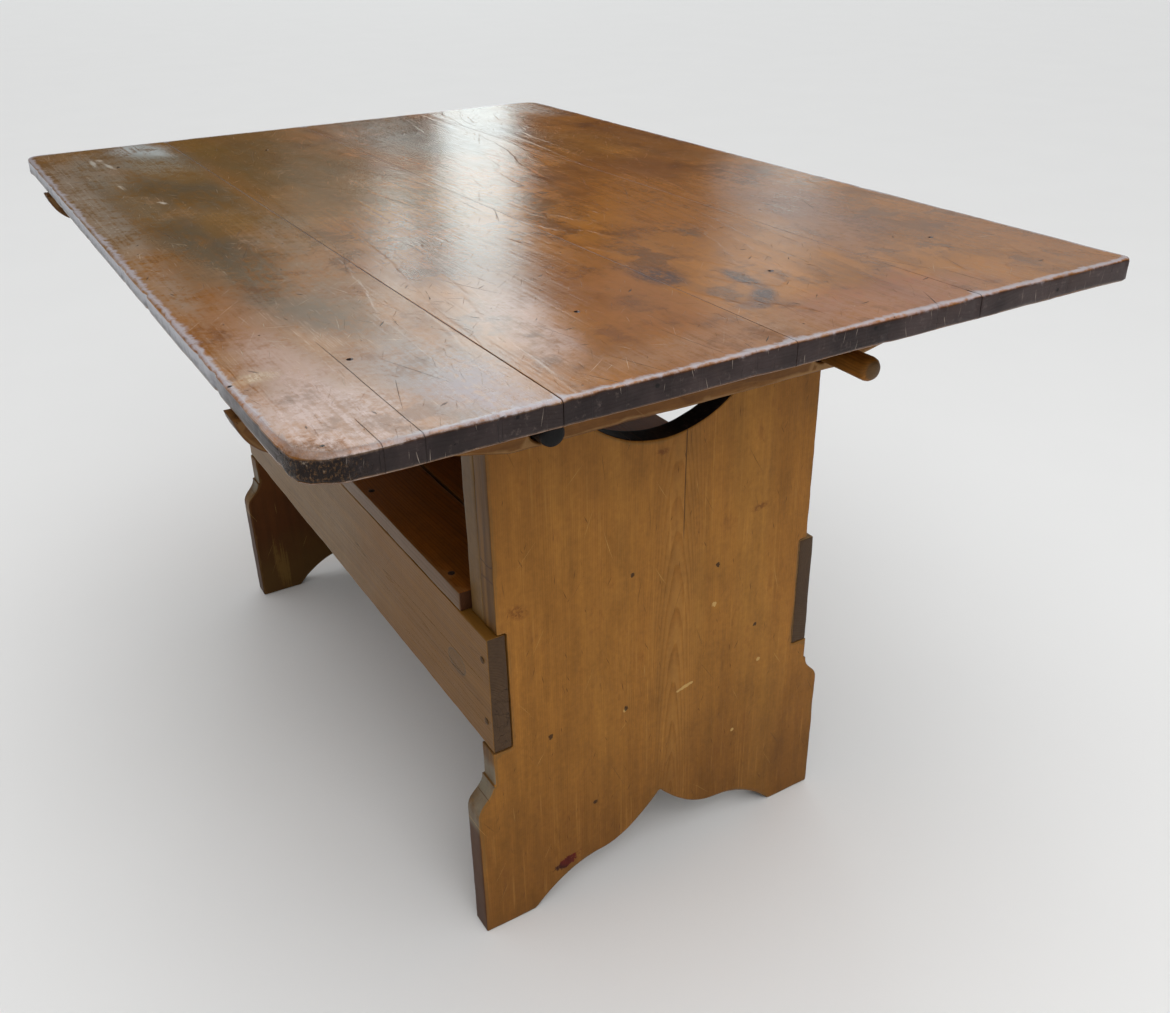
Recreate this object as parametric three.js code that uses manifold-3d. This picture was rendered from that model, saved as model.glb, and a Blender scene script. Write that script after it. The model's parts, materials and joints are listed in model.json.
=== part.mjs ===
// A monk's bench: a box seat between two end boards, whose table top tilts up about two pins to
// make the back. Millimetres, Z up, X along the seat, +Y to the front. The origin is on the floor
// under the middle of the top.
import * as THREE from "three";
import { mergeVertices } from "three/addons/utils/BufferGeometryUtils.js";
import Module from "manifold-3d";

const wasm = await Module();
wasm.setup();

// Table top: four boards along X, from the back edge to the front edge.
const tableHeight = 750;
const topLength = 1287;
const topWidth = 893;
const topThickness = 24;
const topBoardShares = [0.235, 0.259, 0.253, 0.253];
const backLeftCorner = 26;
const backRightCorner = 38;
const frontLeftCorner = 40;
const frontRightCorner = 12;
const topWear = 2.4;

// Battens across the underside of the top, outside the end boards.
const battenThickness = 28;
const battenDepth = 95;
const battenFlat = 400;
const battenPastEdge = 2.5;
const noseLength = 42;
const noseDepth = 43;
const battenBowShares = [0.48, 0.35];
const noseBowShares = [0.81, 0.84];

// End boards. The base stands a little behind the middle of the top.
const baseLength = 908;
const baseSetBack = 5.5;
const endThickness = 29;
const endWidth = 422;
const footWidth = 496;
const footHeight = 176;
const ogeeRise = 42;
const ogeeLedge = 3;
const neckPastApron = 2;
const ogeeBendShare = 0.5;
const scoopRadius = 137;
const archWidth = 360;
const archHeight = 103;
const archKneeWidth = 176;
const archKneeHeight = 48;
const archFootBendShares = [0.452, 0.92];
const archPeakBendShares = [0.51, 0.055];

// Uprights on the inner faces of the end boards, at their edges.
const uprightThickness = 29;
const uprightWidth = 81;

// Aprons, let into the edges of the end boards.
const boxWidth = 400;
const apronThickness = 22;
const apronHeight = 151;
const frontLapDrop = 13;

// Seat: a fixed board at the back, and a lid of two boards hinged to it.
const seatHeight = 436;
const seatThickness = 23;
const fixedSeatWidth = 92;
const hingeSeam = 3;
const seatEndGap = 5;
const lidClearance = 4;
const lidBackShare = 0.5;
const lidCleatSpacing = 400;
const lidCleatWidth = 45;
const lidCleatThickness = 20;
const lidCleatInset = 14;
const seatBearerThickness = 28;
const seatBearerHeight = 36;

// Bottom of the box.
const boxDepth = 108;
const boxFloorThickness = 18;
const boxFloorShare = 0.5;
const floorBearerThickness = 25;
const floorBearerHeight = 25;

// Pins that the top tilts on, at the back, and pegs that lock it, at the front.
const pinRadius = 13.5;
const pinLength = 104;
const pinChamfer = 1.5;
const pivotAway = 163;
const pivotDrop = 76;
const pinShows = 21;
const lockAway = 182;
const lockDrop = 70;
const lockTipRadius = 12.3;
const lockDome = 7;
const lockTipInset = 2.5;

// Butt hinges of the lid, their leaves standing in the seam.
const hingeSpacing = 540;
const leafLength = 60;
const leafDepth = 19;
const leafThickness = 1;
const knuckleRadius = 3.2;
const hingePinRadius = 1.3;
const knuckleGap = 0.4;
const hingePinPast = 1.2;

// Nails and screws.
const nailRadius = 1.7;
const nailLength = 52;
const nailHeadRadius = 4.2;
const nailHeadHeight = 1.6;
const seatNailLength = 58;
const seatNailSpan = 698;
const seatNailCount = 4;
const apronNailShares = [0.24, 0.78];
const screwRadius = 2.3;
const screwHeadRadius = 5;
const screwHeadHeight = 3;
const screwGrip = 30;
const screwBite = 15;
const counterboreRadius = 7;

// Clearances, wear and cutting.
const fitGap = 0.3;
const restGap = 0.8;
const battenClearance = 2;
const pinFit = 0.5;
const pinRunning = 0.8;
const edgeWear = 1.4;
const overrun = 3;
const curveSteps = 10;
const roundSides = 20;
const smallSides = 8;
const weldDistance = 0.0001;

// Places worked out from the sizes.
const underside = tableHeight - topThickness;
const endTop = underside - restGap;
const endOuter = baseLength / 2;
const endInner = endOuter - endThickness;
const uprightInner = endInner - fitGap - uprightThickness;
const battenInner = endOuter + battenClearance;
const battenOuter = battenInner + battenThickness;
const endEdge = endWidth / 2;
const uprightEdge = endEdge - uprightWidth;
const apronInner = boxWidth / 2;
const apronOuter = apronInner + apronThickness;
const seatBottom = seatHeight - seatThickness;
const apronTop = seatBottom - fitGap;
const backApronBottom = apronTop - apronHeight;
const frontLapTop = apronTop - frontLapDrop;
const frontApronBottom = frontLapTop - apronHeight;
const pivotInBase = -pivotAway;
const pivotY = pivotInBase - baseSetBack;
const pivotZ = underside - pivotDrop;
const lockInBase = lockAway;
const lockY = lockInBase - baseSetBack;
const lockZ = underside - lockDrop;
const seamBack = fixedSeatWidth - apronOuter;
const seamFront = seamBack + hingeSeam;
const hingeY = (seamBack + seamFront) / 2;
const hingeZ = seatHeight + knuckleRadius + knuckleGap;
const boxFloorTop = seatBottom - boxDepth;
const boxFloorBottom = boxFloorTop - boxFloorThickness;

const xAxis = new THREE.Vector3(1, 0, 0);
const yAxis = new THREE.Vector3(0, 1, 0);
const zAxis = new THREE.Vector3(0, 0, 1);
// An outline drawn in (y, z) that grows along +X, and one drawn in (x, z) that grows along -Y.
const growAlongX = new THREE.Matrix4().makeBasis(yAxis, zAxis, xAxis);
const growAlongY = new THREE.Matrix4().makeBasis(xAxis, zAxis, yAxis.clone().negate());

function solidOf(geometry) {
  const bare = geometry.clone();
  bare.deleteAttribute("normal");
  bare.deleteAttribute("uv");
  const merged = mergeVertices(bare, weldDistance);
  const vertProperties = new Float32Array(merged.attributes.position.array);
  const triVerts = new Uint32Array(merged.index.array);
  return new wasm.Manifold(new wasm.Mesh({ numProp: 3, vertProperties, triVerts }));
}

function geometryOf(solid) {
  const mesh = solid.getMesh();
  const geometry = new THREE.BufferGeometry();
  const places = new Float32Array(mesh.numVert * 3);
  for (let i = 0; i < mesh.numVert; i++) {
    places.set(mesh.vertProperties.subarray(i * mesh.numProp, i * mesh.numProp + 3), i * 3);
  }
  geometry.setAttribute("position", new THREE.BufferAttribute(places, 3));
  geometry.setIndex(new THREE.BufferAttribute(new Uint32Array(mesh.triVerts), 1));
  const faceted = geometry.toNonIndexed();
  faceted.computeVertexNormals();
  return faceted;
}

function cut(geometry, cutters) {
  return geometryOf(cutters.reduce((left, cutter) => left.subtract(solidOf(cutter)), solidOf(geometry)));
}

function join(geometries) {
  return geometryOf(geometries.map(solidOf).reduce((all, next) => all.add(next)));
}

// A board with worn edges: the outline, grown by the thickness along +Z from zero.
function board(outline, thickness, wear = edgeWear) {
  const geometry = new THREE.ExtrudeGeometry(outline, {
    depth: thickness - 2 * wear,
    bevelEnabled: true,
    bevelThickness: wear,
    bevelSize: wear,
    bevelOffset: -wear,
    bevelSegments: 1,
    curveSegments: curveSteps,
  });
  return geometry.translate(0, 0, wear);
}

function rectangle(left, right, low, high) {
  return new THREE.Shape()
    .moveTo(left, low)
    .lineTo(right, low)
    .lineTo(right, high)
    .lineTo(left, high)
    .closePath();
}

function roundHole(across, up, radius) {
  const hole = new THREE.Path();
  hole.absarc(across, up, radius, 0, 2 * Math.PI, false);
  return hole;
}

// A round bar from zero along +Y.
function bar(radius, length, sides = smallSides) {
  return new THREE.CylinderGeometry(radius, radius, length, sides).translate(0, length / 2, 0);
}

function mesh(name, geometry, material, x = 0, y = 0, z = 0) {
  const made = new THREE.Mesh(geometry, material);
  made.name = name;
  made.position.set(x, y, z);
  return made;
}

const wood = (color, roughness) => new THREE.MeshStandardMaterial({ color, roughness, metalness: 0 });
const topWood = wood(0x8a4f22, 0.35);
const pineFace = wood(0xb98545, 0.6);
const apronWood = wood(0x9c7d58, 0.65);
const seatWood = wood(0x6e3415, 0.45);
const innerWood = wood(0x8a6438, 0.8);
const darkPin = wood(0x1b1511, 0.5);
const palePeg = wood(0xa06a2e, 0.5);
const iron = new THREE.MeshStandardMaterial({ color: 0x2d2724, roughness: 0.6, metalness: 0.8 });

const bench = new THREE.Group();
const base = new THREE.Group();
const top = new THREE.Group();
const lid = new THREE.Group();
bench.add(base, top, lid);
base.position.set(0, -baseSetBack, 0);
top.position.set(0, pivotY, pivotZ);
lid.position.set(0, hingeY - baseSetBack, hingeZ);

const sides = [
  { name: "left", turn: -1 },
  { name: "right", turn: 1 },
];
// The low X end of a piece that lies from near to far off the centre, on one side or the other.
const lowEnd = (turn, near, far) => (turn > 0 ? near : -far);

// Table top boards, with a worn round corner at each corner of the top.
function topBoardOutline(back, front, first, last) {
  const half = topLength / 2;
  const outline = new THREE.Shape();
  const corners = [
    { x: -half, y: back, r: first ? backLeftCorner : 0, dx: 1, dy: 1 },
    { x: half, y: back, r: first ? backRightCorner : 0, dx: -1, dy: 1 },
    { x: half, y: front, r: last ? frontRightCorner : 0, dx: -1, dy: -1 },
    { x: -half, y: front, r: last ? frontLeftCorner : 0, dx: 1, dy: -1 },
  ];
  corners.forEach(({ x, y, r, dx, dy }, i) => {
    const alongFirst = i % 2 === 0;
    const entry = alongFirst ? [x, y + dy * r] : [x + dx * r, y];
    const exit = alongFirst ? [x + dx * r, y] : [x, y + dy * r];
    if (i === 0) outline.moveTo(...entry);
    else outline.lineTo(...entry);
    if (r > 0) outline.quadraticCurveTo(x, y, ...exit);
  });
  return outline.closePath();
}

const topEdges = [-topWidth / 2];
topBoardShares.forEach((share) => topEdges.push(topEdges[topEdges.length - 1] + share * topWidth));
const screwPlaces = topBoardShares.map((share, i) => (topEdges[i] + topEdges[i + 1]) / 2);
const battenMiddle = (battenInner + battenOuter) / 2;

topBoardShares.forEach((share, i) => {
  const last = i === topBoardShares.length - 1;
  const back = topEdges[i] + (i === 0 ? 0 : fitGap);
  const front = topEdges[i + 1] - (last ? 0 : fitGap);
  const outline = topBoardOutline(back, front, i === 0, last);
  const pilots = sides.map(({ turn }) =>
    bar(screwRadius + fitGap, screwBite + fitGap + overrun)
      .rotateX(Math.PI / 2)
      .translate(turn * battenMiddle, screwPlaces[i], -overrun),
  );
  const geometry = cut(board(outline, topThickness, topWear), pilots);
  top.add(mesh("top_board_" + (i + 1), geometry, topWood, 0, -pivotY, underside - pivotZ));
});

// Battens: a straight lower edge in the middle, rising to a rounded nose at each end. Heights are
// measured from the underside of the top.
function battenOutline() {
  const reach = topWidth / 2 + battenPastEdge;
  const bend = reach - noseLength;
  const flat = battenFlat / 2;
  const bow = flat + (bend - flat) * battenBowShares[0];
  const bowDepth = -battenDepth + (battenDepth - noseDepth) * battenBowShares[1];
  const noseBow = bend + noseLength * noseBowShares[0];
  const noseBowDepth = -noseDepth * noseBowShares[1];
  const outline = new THREE.Shape()
    .moveTo(reach, -fitGap)
    .lineTo(-reach, -fitGap)
    .quadraticCurveTo(-noseBow, noseBowDepth, -bend, -noseDepth)
    .quadraticCurveTo(-bow, bowDepth, -flat, -battenDepth)
    .lineTo(flat, -battenDepth)
    .quadraticCurveTo(bow, bowDepth, bend, -noseDepth)
    .quadraticCurveTo(noseBow, noseBowDepth, reach, -fitGap);
  outline.holes.push(roundHole(pivotY, -pivotDrop, pinRadius + pinRunning));
  outline.holes.push(roundHole(lockY, -lockDrop, pinRadius + pinRunning));
  return outline;
}

// A round-headed screw from the point up along +Z, its head's seat at zero.
function screwGeometry() {
  const profile = [
    new THREE.Vector2(0, -screwHeadHeight),
    new THREE.Vector2(screwHeadRadius / 2, -screwHeadHeight),
    new THREE.Vector2(screwHeadRadius, -fitGap),
    new THREE.Vector2(screwRadius, -fitGap),
    new THREE.Vector2(screwRadius, screwGrip + screwBite / 2),
    new THREE.Vector2(0, screwGrip + screwBite),
  ];
  return new THREE.LatheGeometry(profile, smallSides).rotateX(Math.PI / 2);
}

sides.forEach(({ name, turn }) => {
  const grown = board(battenOutline(), battenThickness).applyMatrix4(growAlongX);
  const cutters = screwPlaces.flatMap((place) => [
    bar(screwRadius + fitGap, screwGrip + 2 * overrun)
      .rotateX(Math.PI / 2)
      .translate(battenThickness / 2, place, -screwGrip - overrun),
    bar(counterboreRadius, battenDepth, roundSides)
      .rotateX(Math.PI / 2)
      .translate(battenThickness / 2, place, -screwGrip - battenDepth),
  ]);
  const x = lowEnd(turn, battenInner, battenOuter);
  top.add(mesh(name + "_batten", cut(grown, cutters), pineFace, x, -pivotY, underside - pivotZ));
  screwPlaces.forEach((place, i) => {
    const seat = underside - pivotZ - screwGrip;
    const screw = mesh(name + "_batten_screw_" + (i + 1), screwGeometry(), iron);
    screw.position.set(turn * battenMiddle, place - pivotY, seat);
    top.add(screw);
  });
});

// End boards. The outline goes round from the front foot, up the front edge, along the top with
// its half-round scoop and the horn rounded about the pivot, and down the back edge to the arch.
function endOutline() {
  const foot = footWidth / 2;
  const neck = apronOuter + neckPastApron;
  const ledge = neck + ogeeLedge;
  const ogeeTop = footHeight + ogeeRise;
  const bend = ogeeRise * ogeeBendShare;
  const arch = archWidth / 2;
  const knee = archKneeWidth / 2;
  const notch = apronInner - fitGap;
  const hornRadius = pivotDrop - restGap;
  const hornEnd = Math.PI - Math.acos((endEdge + pivotInBase) / hornRadius);
  const footBend = arch - (arch - knee) * archFootBendShares[0];
  const footBendHeight = archKneeHeight * archFootBendShares[1];
  const peakBend = knee * archPeakBendShares[0];
  const peakBendHeight = archKneeHeight + (archHeight - archKneeHeight) * archPeakBendShares[1];
  const outline = new THREE.Shape()
    .moveTo(arch, 0)
    .lineTo(foot, 0)
    .lineTo(foot, footHeight)
    .bezierCurveTo(foot, footHeight + bend, ledge, ogeeTop - bend, ledge, ogeeTop)
    .lineTo(neck, ogeeTop)
    .lineTo(neck, frontApronBottom - fitGap)
    .lineTo(notch, frontApronBottom - fitGap)
    .lineTo(notch, frontLapTop + fitGap)
    .lineTo(endEdge, frontLapTop + fitGap)
    .lineTo(endEdge, endTop)
    .lineTo(scoopRadius, endTop)
    .absarc(0, endTop, scoopRadius, 0, Math.PI, true)
    .lineTo(pivotInBase, endTop)
    .absarc(pivotInBase, pivotZ, hornRadius, Math.PI / 2, hornEnd, false)
    .lineTo(-endEdge, apronTop + fitGap)
    .lineTo(-notch, apronTop + fitGap)
    .lineTo(-notch, backApronBottom - fitGap)
    .lineTo(-neck, backApronBottom - fitGap)
    .lineTo(-neck, ogeeTop)
    .lineTo(-ledge, ogeeTop)
    .bezierCurveTo(-ledge, ogeeTop - bend, -foot, footHeight + bend, -foot, footHeight)
    .lineTo(-foot, 0)
    .lineTo(-arch, 0)
    .quadraticCurveTo(-footBend, footBendHeight, -knee, archKneeHeight)
    .quadraticCurveTo(-peakBend, peakBendHeight, 0, archHeight)
    .quadraticCurveTo(peakBend, peakBendHeight, knee, archKneeHeight)
    .quadraticCurveTo(footBend, footBendHeight, arch, 0);
  outline.holes.push(roundHole(pivotInBase, pivotZ, pinRadius + pinFit));
  outline.holes.push(roundHole(lockInBase, lockZ, pinRadius + pinRunning));
  return outline;
}

// A wrought nail from its head at zero along +Y, the head standing out along -Y.
function nailGeometry(length) {
  const profile = [
    new THREE.Vector2(0, -nailHeadHeight - fitGap),
    new THREE.Vector2(nailHeadRadius, -nailHeadHeight / 3 - fitGap),
    new THREE.Vector2(nailHeadRadius, -fitGap),
    new THREE.Vector2(nailRadius, -fitGap),
    new THREE.Vector2(nailRadius, length - nailHeadRadius),
    new THREE.Vector2(0, length),
  ];
  return new THREE.LatheGeometry(profile, smallSides);
}

const nailBore = (length) => bar(nailRadius + fitGap, length + fitGap + overrun).translate(0, -overrun, 0);
const endMiddle = (endInner + endOuter) / 2;
const aprons = [
  { name: "back", facing: -1, low: backApronBottom },
  { name: "front", facing: 1, low: frontApronBottom },
];
// Each apron nail's place: on the apron's outer face, in the middle of an end board's thickness.
const apronNails = aprons.flatMap(({ name, facing, low }) =>
  sides.flatMap((side) =>
    apronNailShares.map((share, i) => ({
      name: side.name + "_" + name + "_apron_nail_" + (i + 1),
      apron: name,
      side: side.name,
      facing,
      x: side.turn * endMiddle,
      y: facing * apronOuter,
      z: low + share * apronHeight,
    })),
  ),
);
const turnInward = (geometry, facing) => (facing > 0 ? geometry.rotateZ(Math.PI) : geometry);

sides.forEach(({ name, turn }) => {
  const x = lowEnd(turn, endInner, endOuter);
  const grown = board(endOutline(), endThickness).applyMatrix4(growAlongX);
  const bores = apronNails
    .filter((nail) => nail.side === name)
    .map((nail) => turnInward(nailBore(nailLength), nail.facing).translate(nail.x - x, nail.y, nail.z));
  base.add(mesh(name + "_end_board", cut(grown, bores), pineFace, x));
});

// Uprights: straight pieces from the floor of the box to the top, stepped round the aprons, with
// the end board's scoop, horn and pin hole.
function uprightOutline(facing) {
  const inner = facing * uprightEdge;
  const outer = facing * (endEdge - fitGap);
  const boxed = facing * (apronInner - fitGap);
  const foot = boxFloorTop + fitGap;
  const scoopTurn = Math.acos(uprightEdge / scoopRadius);
  const outline = new THREE.Shape().moveTo(inner, foot).lineTo(boxed, foot);
  outline.lineTo(boxed, seatBottom).lineTo(outer, seatBottom);
  if (facing > 0) {
    outline.lineTo(outer, endTop).lineTo(scoopRadius, endTop);
    outline.absarc(0, endTop, scoopRadius, 0, -scoopTurn, true);
    outline.holes.push(roundHole(lockInBase, lockZ, pinRadius + pinRunning));
  } else {
    const hornRadius = pivotDrop - restGap;
    const hornEnd = Math.PI - Math.acos((endEdge - fitGap + pivotInBase) / hornRadius);
    outline.absarc(pivotInBase, pivotZ, hornRadius, hornEnd, Math.PI / 2, true);
    outline.lineTo(-scoopRadius, endTop);
    outline.absarc(0, endTop, scoopRadius, Math.PI, Math.PI + scoopTurn, false);
    outline.holes.push(roundHole(pivotInBase, pivotZ, pinRadius + pinFit));
  }
  return outline.lineTo(inner, foot);
}

sides.forEach(({ name, turn }) => {
  const x = lowEnd(turn, uprightInner, uprightInner + uprightThickness);
  aprons.forEach((apron) => {
    const grown = board(uprightOutline(apron.facing), uprightThickness).applyMatrix4(growAlongX);
    base.add(mesh(name + "_" + apron.name + "_upright", grown, apronWood, x));
  });
});

// Aprons. The front one stands higher between the end boards than at its laps.
function backApronOutline() {
  return rectangle(-endOuter, endOuter, backApronBottom, apronTop);
}

function frontApronOutline() {
  const shoulder = endInner - fitGap;
  return new THREE.Shape()
    .moveTo(-endOuter, frontApronBottom)
    .lineTo(endOuter, frontApronBottom)
    .lineTo(endOuter, frontLapTop)
    .lineTo(shoulder, frontLapTop)
    .lineTo(shoulder, apronTop)
    .lineTo(-shoulder, apronTop)
    .lineTo(-shoulder, frontLapTop)
    .lineTo(-endOuter, frontLapTop)
    .closePath();
}

const seatNails = Array.from({ length: seatNailCount }, (unused, i) => ({
  name: "seat_nail_" + (i + 1),
  x: seatNailSpan * (i / (seatNailCount - 1)) - seatNailSpan / 2,
  y: -(apronInner + apronOuter) / 2,
  z: seatHeight,
}));
const pointDown = (geometry) => geometry.rotateX(-Math.PI / 2);
const seatNailBore = (nail, y, z) =>
  pointDown(nailBore(seatNailLength)).translate(nail.x, nail.y - y, nail.z - z);

aprons.forEach(({ name, facing }) => {
  const back = name === "back";
  const outline = back ? backApronOutline() : frontApronOutline();
  const y = back ? -apronInner : apronOuter;
  const grown = board(outline, apronThickness).applyMatrix4(growAlongY);
  const bores = apronNails
    .filter((nail) => nail.apron === name)
    .map((nail) => turnInward(nailBore(nailLength), facing).translate(nail.x, nail.y - y, nail.z));
  if (back) bores.push(...seatNails.map((nail) => seatNailBore(nail, y, 0)));
  base.add(mesh(name + "_apron", cut(grown, bores), apronWood, 0, y, 0));
});
apronNails.forEach((nail) => {
  const geometry = turnInward(nailGeometry(nailLength), nail.facing);
  base.add(mesh(nail.name, geometry, iron, nail.x, nail.y, nail.z));
});
seatNails.forEach((nail) => {
  base.add(mesh(nail.name, pointDown(nailGeometry(seatNailLength)), iron, nail.x, nail.y, nail.z));
});

// A board of the seat from back to front: short where it passes between the uprights, and full
// length between the end boards elsewhere.
function seatOutline(back, front) {
  const open = uprightEdge - lidClearance;
  const short = uprightInner - seatEndGap;
  const long = endInner - lidClearance;
  const stops = [back, -open, open, front].filter((y) => y >= back && y <= front);
  const steps = [...new Set(stops)].sort((a, b) => a - b);
  const right = [];
  for (let i = 0; i + 1 < steps.length; i++) {
    const middle = (steps[i] + steps[i + 1]) / 2;
    const half = Math.abs(middle) < open ? long : short;
    right.push([half, steps[i]], [half, steps[i + 1]]);
  }
  const left = right.map(([half, y]) => [-half, y]).reverse();
  const places = [...right, ...left].map(([x, y]) => new THREE.Vector2(x, y));
  return new THREE.Shape(places.filter((p, i) => i === 0 || p.distanceTo(places[i - 1]) > fitGap));
}

const fixedSeat = board(seatOutline(-apronOuter, seamBack), seatThickness);
const fixedSeatBores = seatNails.map((nail) => seatNailBore(nail, 0, seatBottom));
base.add(mesh("fixed_seat_board", cut(fixedSeat, fixedSeatBores), seatWood, 0, 0, seatBottom));

const lidSplit = seamFront + (apronOuter - seamFront) * lidBackShare;
const lidBoards = [
  { name: "lid_back_board", back: seamFront, front: lidSplit - fitGap },
  { name: "lid_front_board", back: lidSplit + fitGap, front: apronOuter },
];
lidBoards.forEach(({ name, back, front }) => {
  const geometry = board(seatOutline(back, front), seatThickness);
  lid.add(mesh(name, geometry, seatWood, 0, -hingeY, seatBottom - hingeZ));
});
sides.forEach(({ name, turn }) => {
  const outline = rectangle(
    -lidCleatWidth / 2,
    lidCleatWidth / 2,
    seamFront + lidCleatInset,
    apronInner - lidCleatInset,
  );
  const cleat = mesh(name + "_lid_cleat", board(outline, lidCleatThickness), innerWood);
  const drop = seatBottom - fitGap - lidCleatThickness - hingeZ;
  cleat.position.set((turn * lidCleatSpacing) / 2, -hingeY, drop);
  lid.add(cleat);
});

// Bearers under the ends of the seat and of the box's bottom, and the bottom's two boards.
sides.forEach(({ name, turn }) => {
  const across = apronInner - fitGap;
  const seatBearer = rectangle(-across, across, apronTop - seatBearerHeight, apronTop);
  const seatFar = uprightInner - fitGap;
  const seatX = lowEnd(turn, seatFar - seatBearerThickness, seatFar);
  const seatGrown = board(seatBearer, seatBearerThickness).applyMatrix4(growAlongX);
  base.add(mesh(name + "_seat_bearer", seatGrown, innerWood, seatX));
  const floorTop = boxFloorBottom - fitGap;
  const floorBearer = rectangle(-across, across, floorTop - floorBearerHeight, floorTop);
  const floorFar = endInner - fitGap;
  const floorX = lowEnd(turn, floorFar - floorBearerThickness, floorFar);
  const floorGrown = board(floorBearer, floorBearerThickness).applyMatrix4(growAlongX);
  base.add(mesh(name + "_floor_bearer", floorGrown, innerWood, floorX));
});
const floorSplit = boxWidth * boxFloorShare - apronInner;
const floorBoards = [
  { name: "box_floor_back", back: fitGap - apronInner, front: floorSplit - fitGap },
  { name: "box_floor_front", back: floorSplit + fitGap, front: apronInner - fitGap },
];
floorBoards.forEach(({ name, back, front }) => {
  const half = endInner - fitGap;
  const geometry = board(rectangle(-half, half, back, front), boxFloorThickness);
  base.add(mesh(name, geometry, innerWood, 0, 0, boxFloorBottom));
});

// Pivot pins: plain dowels with chamfered ends, fixed in the end boards and uprights.
function pivotPinGeometry() {
  const profile = [
    new THREE.Vector2(0, 0),
    new THREE.Vector2(pinRadius - pinChamfer, 0),
    new THREE.Vector2(pinRadius, pinChamfer),
    new THREE.Vector2(pinRadius, pinLength - pinChamfer),
    new THREE.Vector2(pinRadius - pinChamfer, pinLength),
    new THREE.Vector2(0, pinLength),
  ];
  return new THREE.LatheGeometry(profile, roundSides);
}

// Lock pegs: tapered to the tip, with a domed outer end.
function lockPegGeometry() {
  const profile = [
    new THREE.Vector2(0, 0),
    new THREE.Vector2(lockTipRadius - pinChamfer, 0),
    new THREE.Vector2(lockTipRadius, pinChamfer),
    new THREE.Vector2(pinRadius, pinLength - lockDome),
  ];
  for (let i = 1; i <= curveSteps / 2; i++) {
    const angle = (Math.PI / 2) * (i / (curveSteps / 2));
    const rise = lockDome * Math.sin(angle);
    profile.push(new THREE.Vector2(pinRadius * Math.cos(angle), pinLength - lockDome + rise));
  }
  profile[profile.length - 1].x = 0;
  return new THREE.LatheGeometry(profile, roundSides);
}

sides.forEach(({ name, turn }) => {
  const pin = mesh(name + "_pivot_pin", pivotPinGeometry(), darkPin);
  pin.position.set(turn * (battenOuter + pinShows - pinLength), pivotInBase, pivotZ);
  pin.rotation.z = (-turn * Math.PI) / 2;
  base.add(pin);
  const peg = mesh(name + "_lock_peg", lockPegGeometry(), palePeg);
  peg.position.set(turn * (endOuter + lockTipInset), lockY, lockZ);
  peg.rotation.z = (-turn * Math.PI) / 2;
  bench.add(peg);
});

// Butt hinges. Each leaf is a plate in the seam with its knuckles on top, and a pin runs through.
const knuckleLength = leafLength / 3;
const barAlongX = (radius, length, sidesRound) =>
  bar(radius, length, sidesRound)
    .rotateZ(-Math.PI / 2)
    .translate(-length / 2, 0, 0);

function leafGeometry(lean, knuckles) {
  const plateHeight = leafDepth + hingeZ - seatHeight;
  const plate = new THREE.BoxGeometry(leafLength, leafThickness, plateHeight);
  plate.translate(0, lean * (leafThickness / 2 + fitGap / 2), -plateHeight / 2);
  const rolls = knuckles.map((middle) =>
    barAlongX(knuckleRadius, knuckleLength - knuckleGap, roundSides).translate(middle, 0, 0),
  );
  const gaps = [-knuckleLength, 0, knuckleLength]
    .filter((middle) => !knuckles.includes(middle))
    .map((middle) => {
      const end = middle === 0 ? 0 : overrun;
      const width = knuckleLength + knuckleGap + end;
      const shift = middle + (Math.sign(middle) * end) / 2;
      const height = 2 * (hingeZ - seatHeight);
      return new THREE.BoxGeometry(width, 2 * knuckleRadius, height).translate(shift, 0, 0);
    });
  const bore = barAlongX(hingePinRadius + fitGap, leafLength + 2 * overrun, roundSides);
  return cut(join([cut(plate, gaps), ...rolls]), [bore]);
}

sides.forEach(({ name, turn }) => {
  const x = (turn * hingeSpacing) / 2;
  const outerKnuckles = [-knuckleLength, knuckleLength];
  const fixedLeaf = mesh(name + "_hinge_fixed_leaf", leafGeometry(-1, outerKnuckles), iron);
  fixedLeaf.position.set(x, hingeY, hingeZ);
  const hingePin = mesh(
    name + "_hinge_pin",
    barAlongX(hingePinRadius, leafLength + 2 * hingePinPast, smallSides),
    iron,
  );
  hingePin.position.set(x, hingeY, hingeZ);
  base.add(fixedLeaf, hingePin);
  lid.add(mesh(name + "_hinge_lid_leaf", leafGeometry(1, [0]), iron, x));
});

export default bench;
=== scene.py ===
"""The looks of an old pine monk's bench: worn, waxed boards round the CAD part. Metres, Z up, back at -Y."""

import json
import math

import bmesh
import bpy
import numpy as np
from mathutils import Matrix, Vector
from mathutils.geometry import delaunay_2d_cdt
from mathutils.kdtree import KDTree


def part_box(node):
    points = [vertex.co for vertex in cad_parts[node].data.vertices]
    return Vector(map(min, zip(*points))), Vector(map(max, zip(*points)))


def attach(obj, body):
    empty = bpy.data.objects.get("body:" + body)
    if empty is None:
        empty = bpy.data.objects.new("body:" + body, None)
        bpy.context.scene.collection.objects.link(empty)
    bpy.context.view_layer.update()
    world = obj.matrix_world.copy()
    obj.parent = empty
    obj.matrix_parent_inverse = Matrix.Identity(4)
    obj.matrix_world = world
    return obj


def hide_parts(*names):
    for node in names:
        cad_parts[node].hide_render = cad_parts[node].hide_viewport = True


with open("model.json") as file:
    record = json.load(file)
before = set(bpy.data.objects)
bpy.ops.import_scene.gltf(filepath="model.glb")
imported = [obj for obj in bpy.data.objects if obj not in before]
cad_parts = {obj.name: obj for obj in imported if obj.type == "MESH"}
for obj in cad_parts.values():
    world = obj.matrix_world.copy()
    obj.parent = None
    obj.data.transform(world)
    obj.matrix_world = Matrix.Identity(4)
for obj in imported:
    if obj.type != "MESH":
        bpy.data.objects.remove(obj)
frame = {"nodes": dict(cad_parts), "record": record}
nodes = frame["nodes"]
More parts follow.
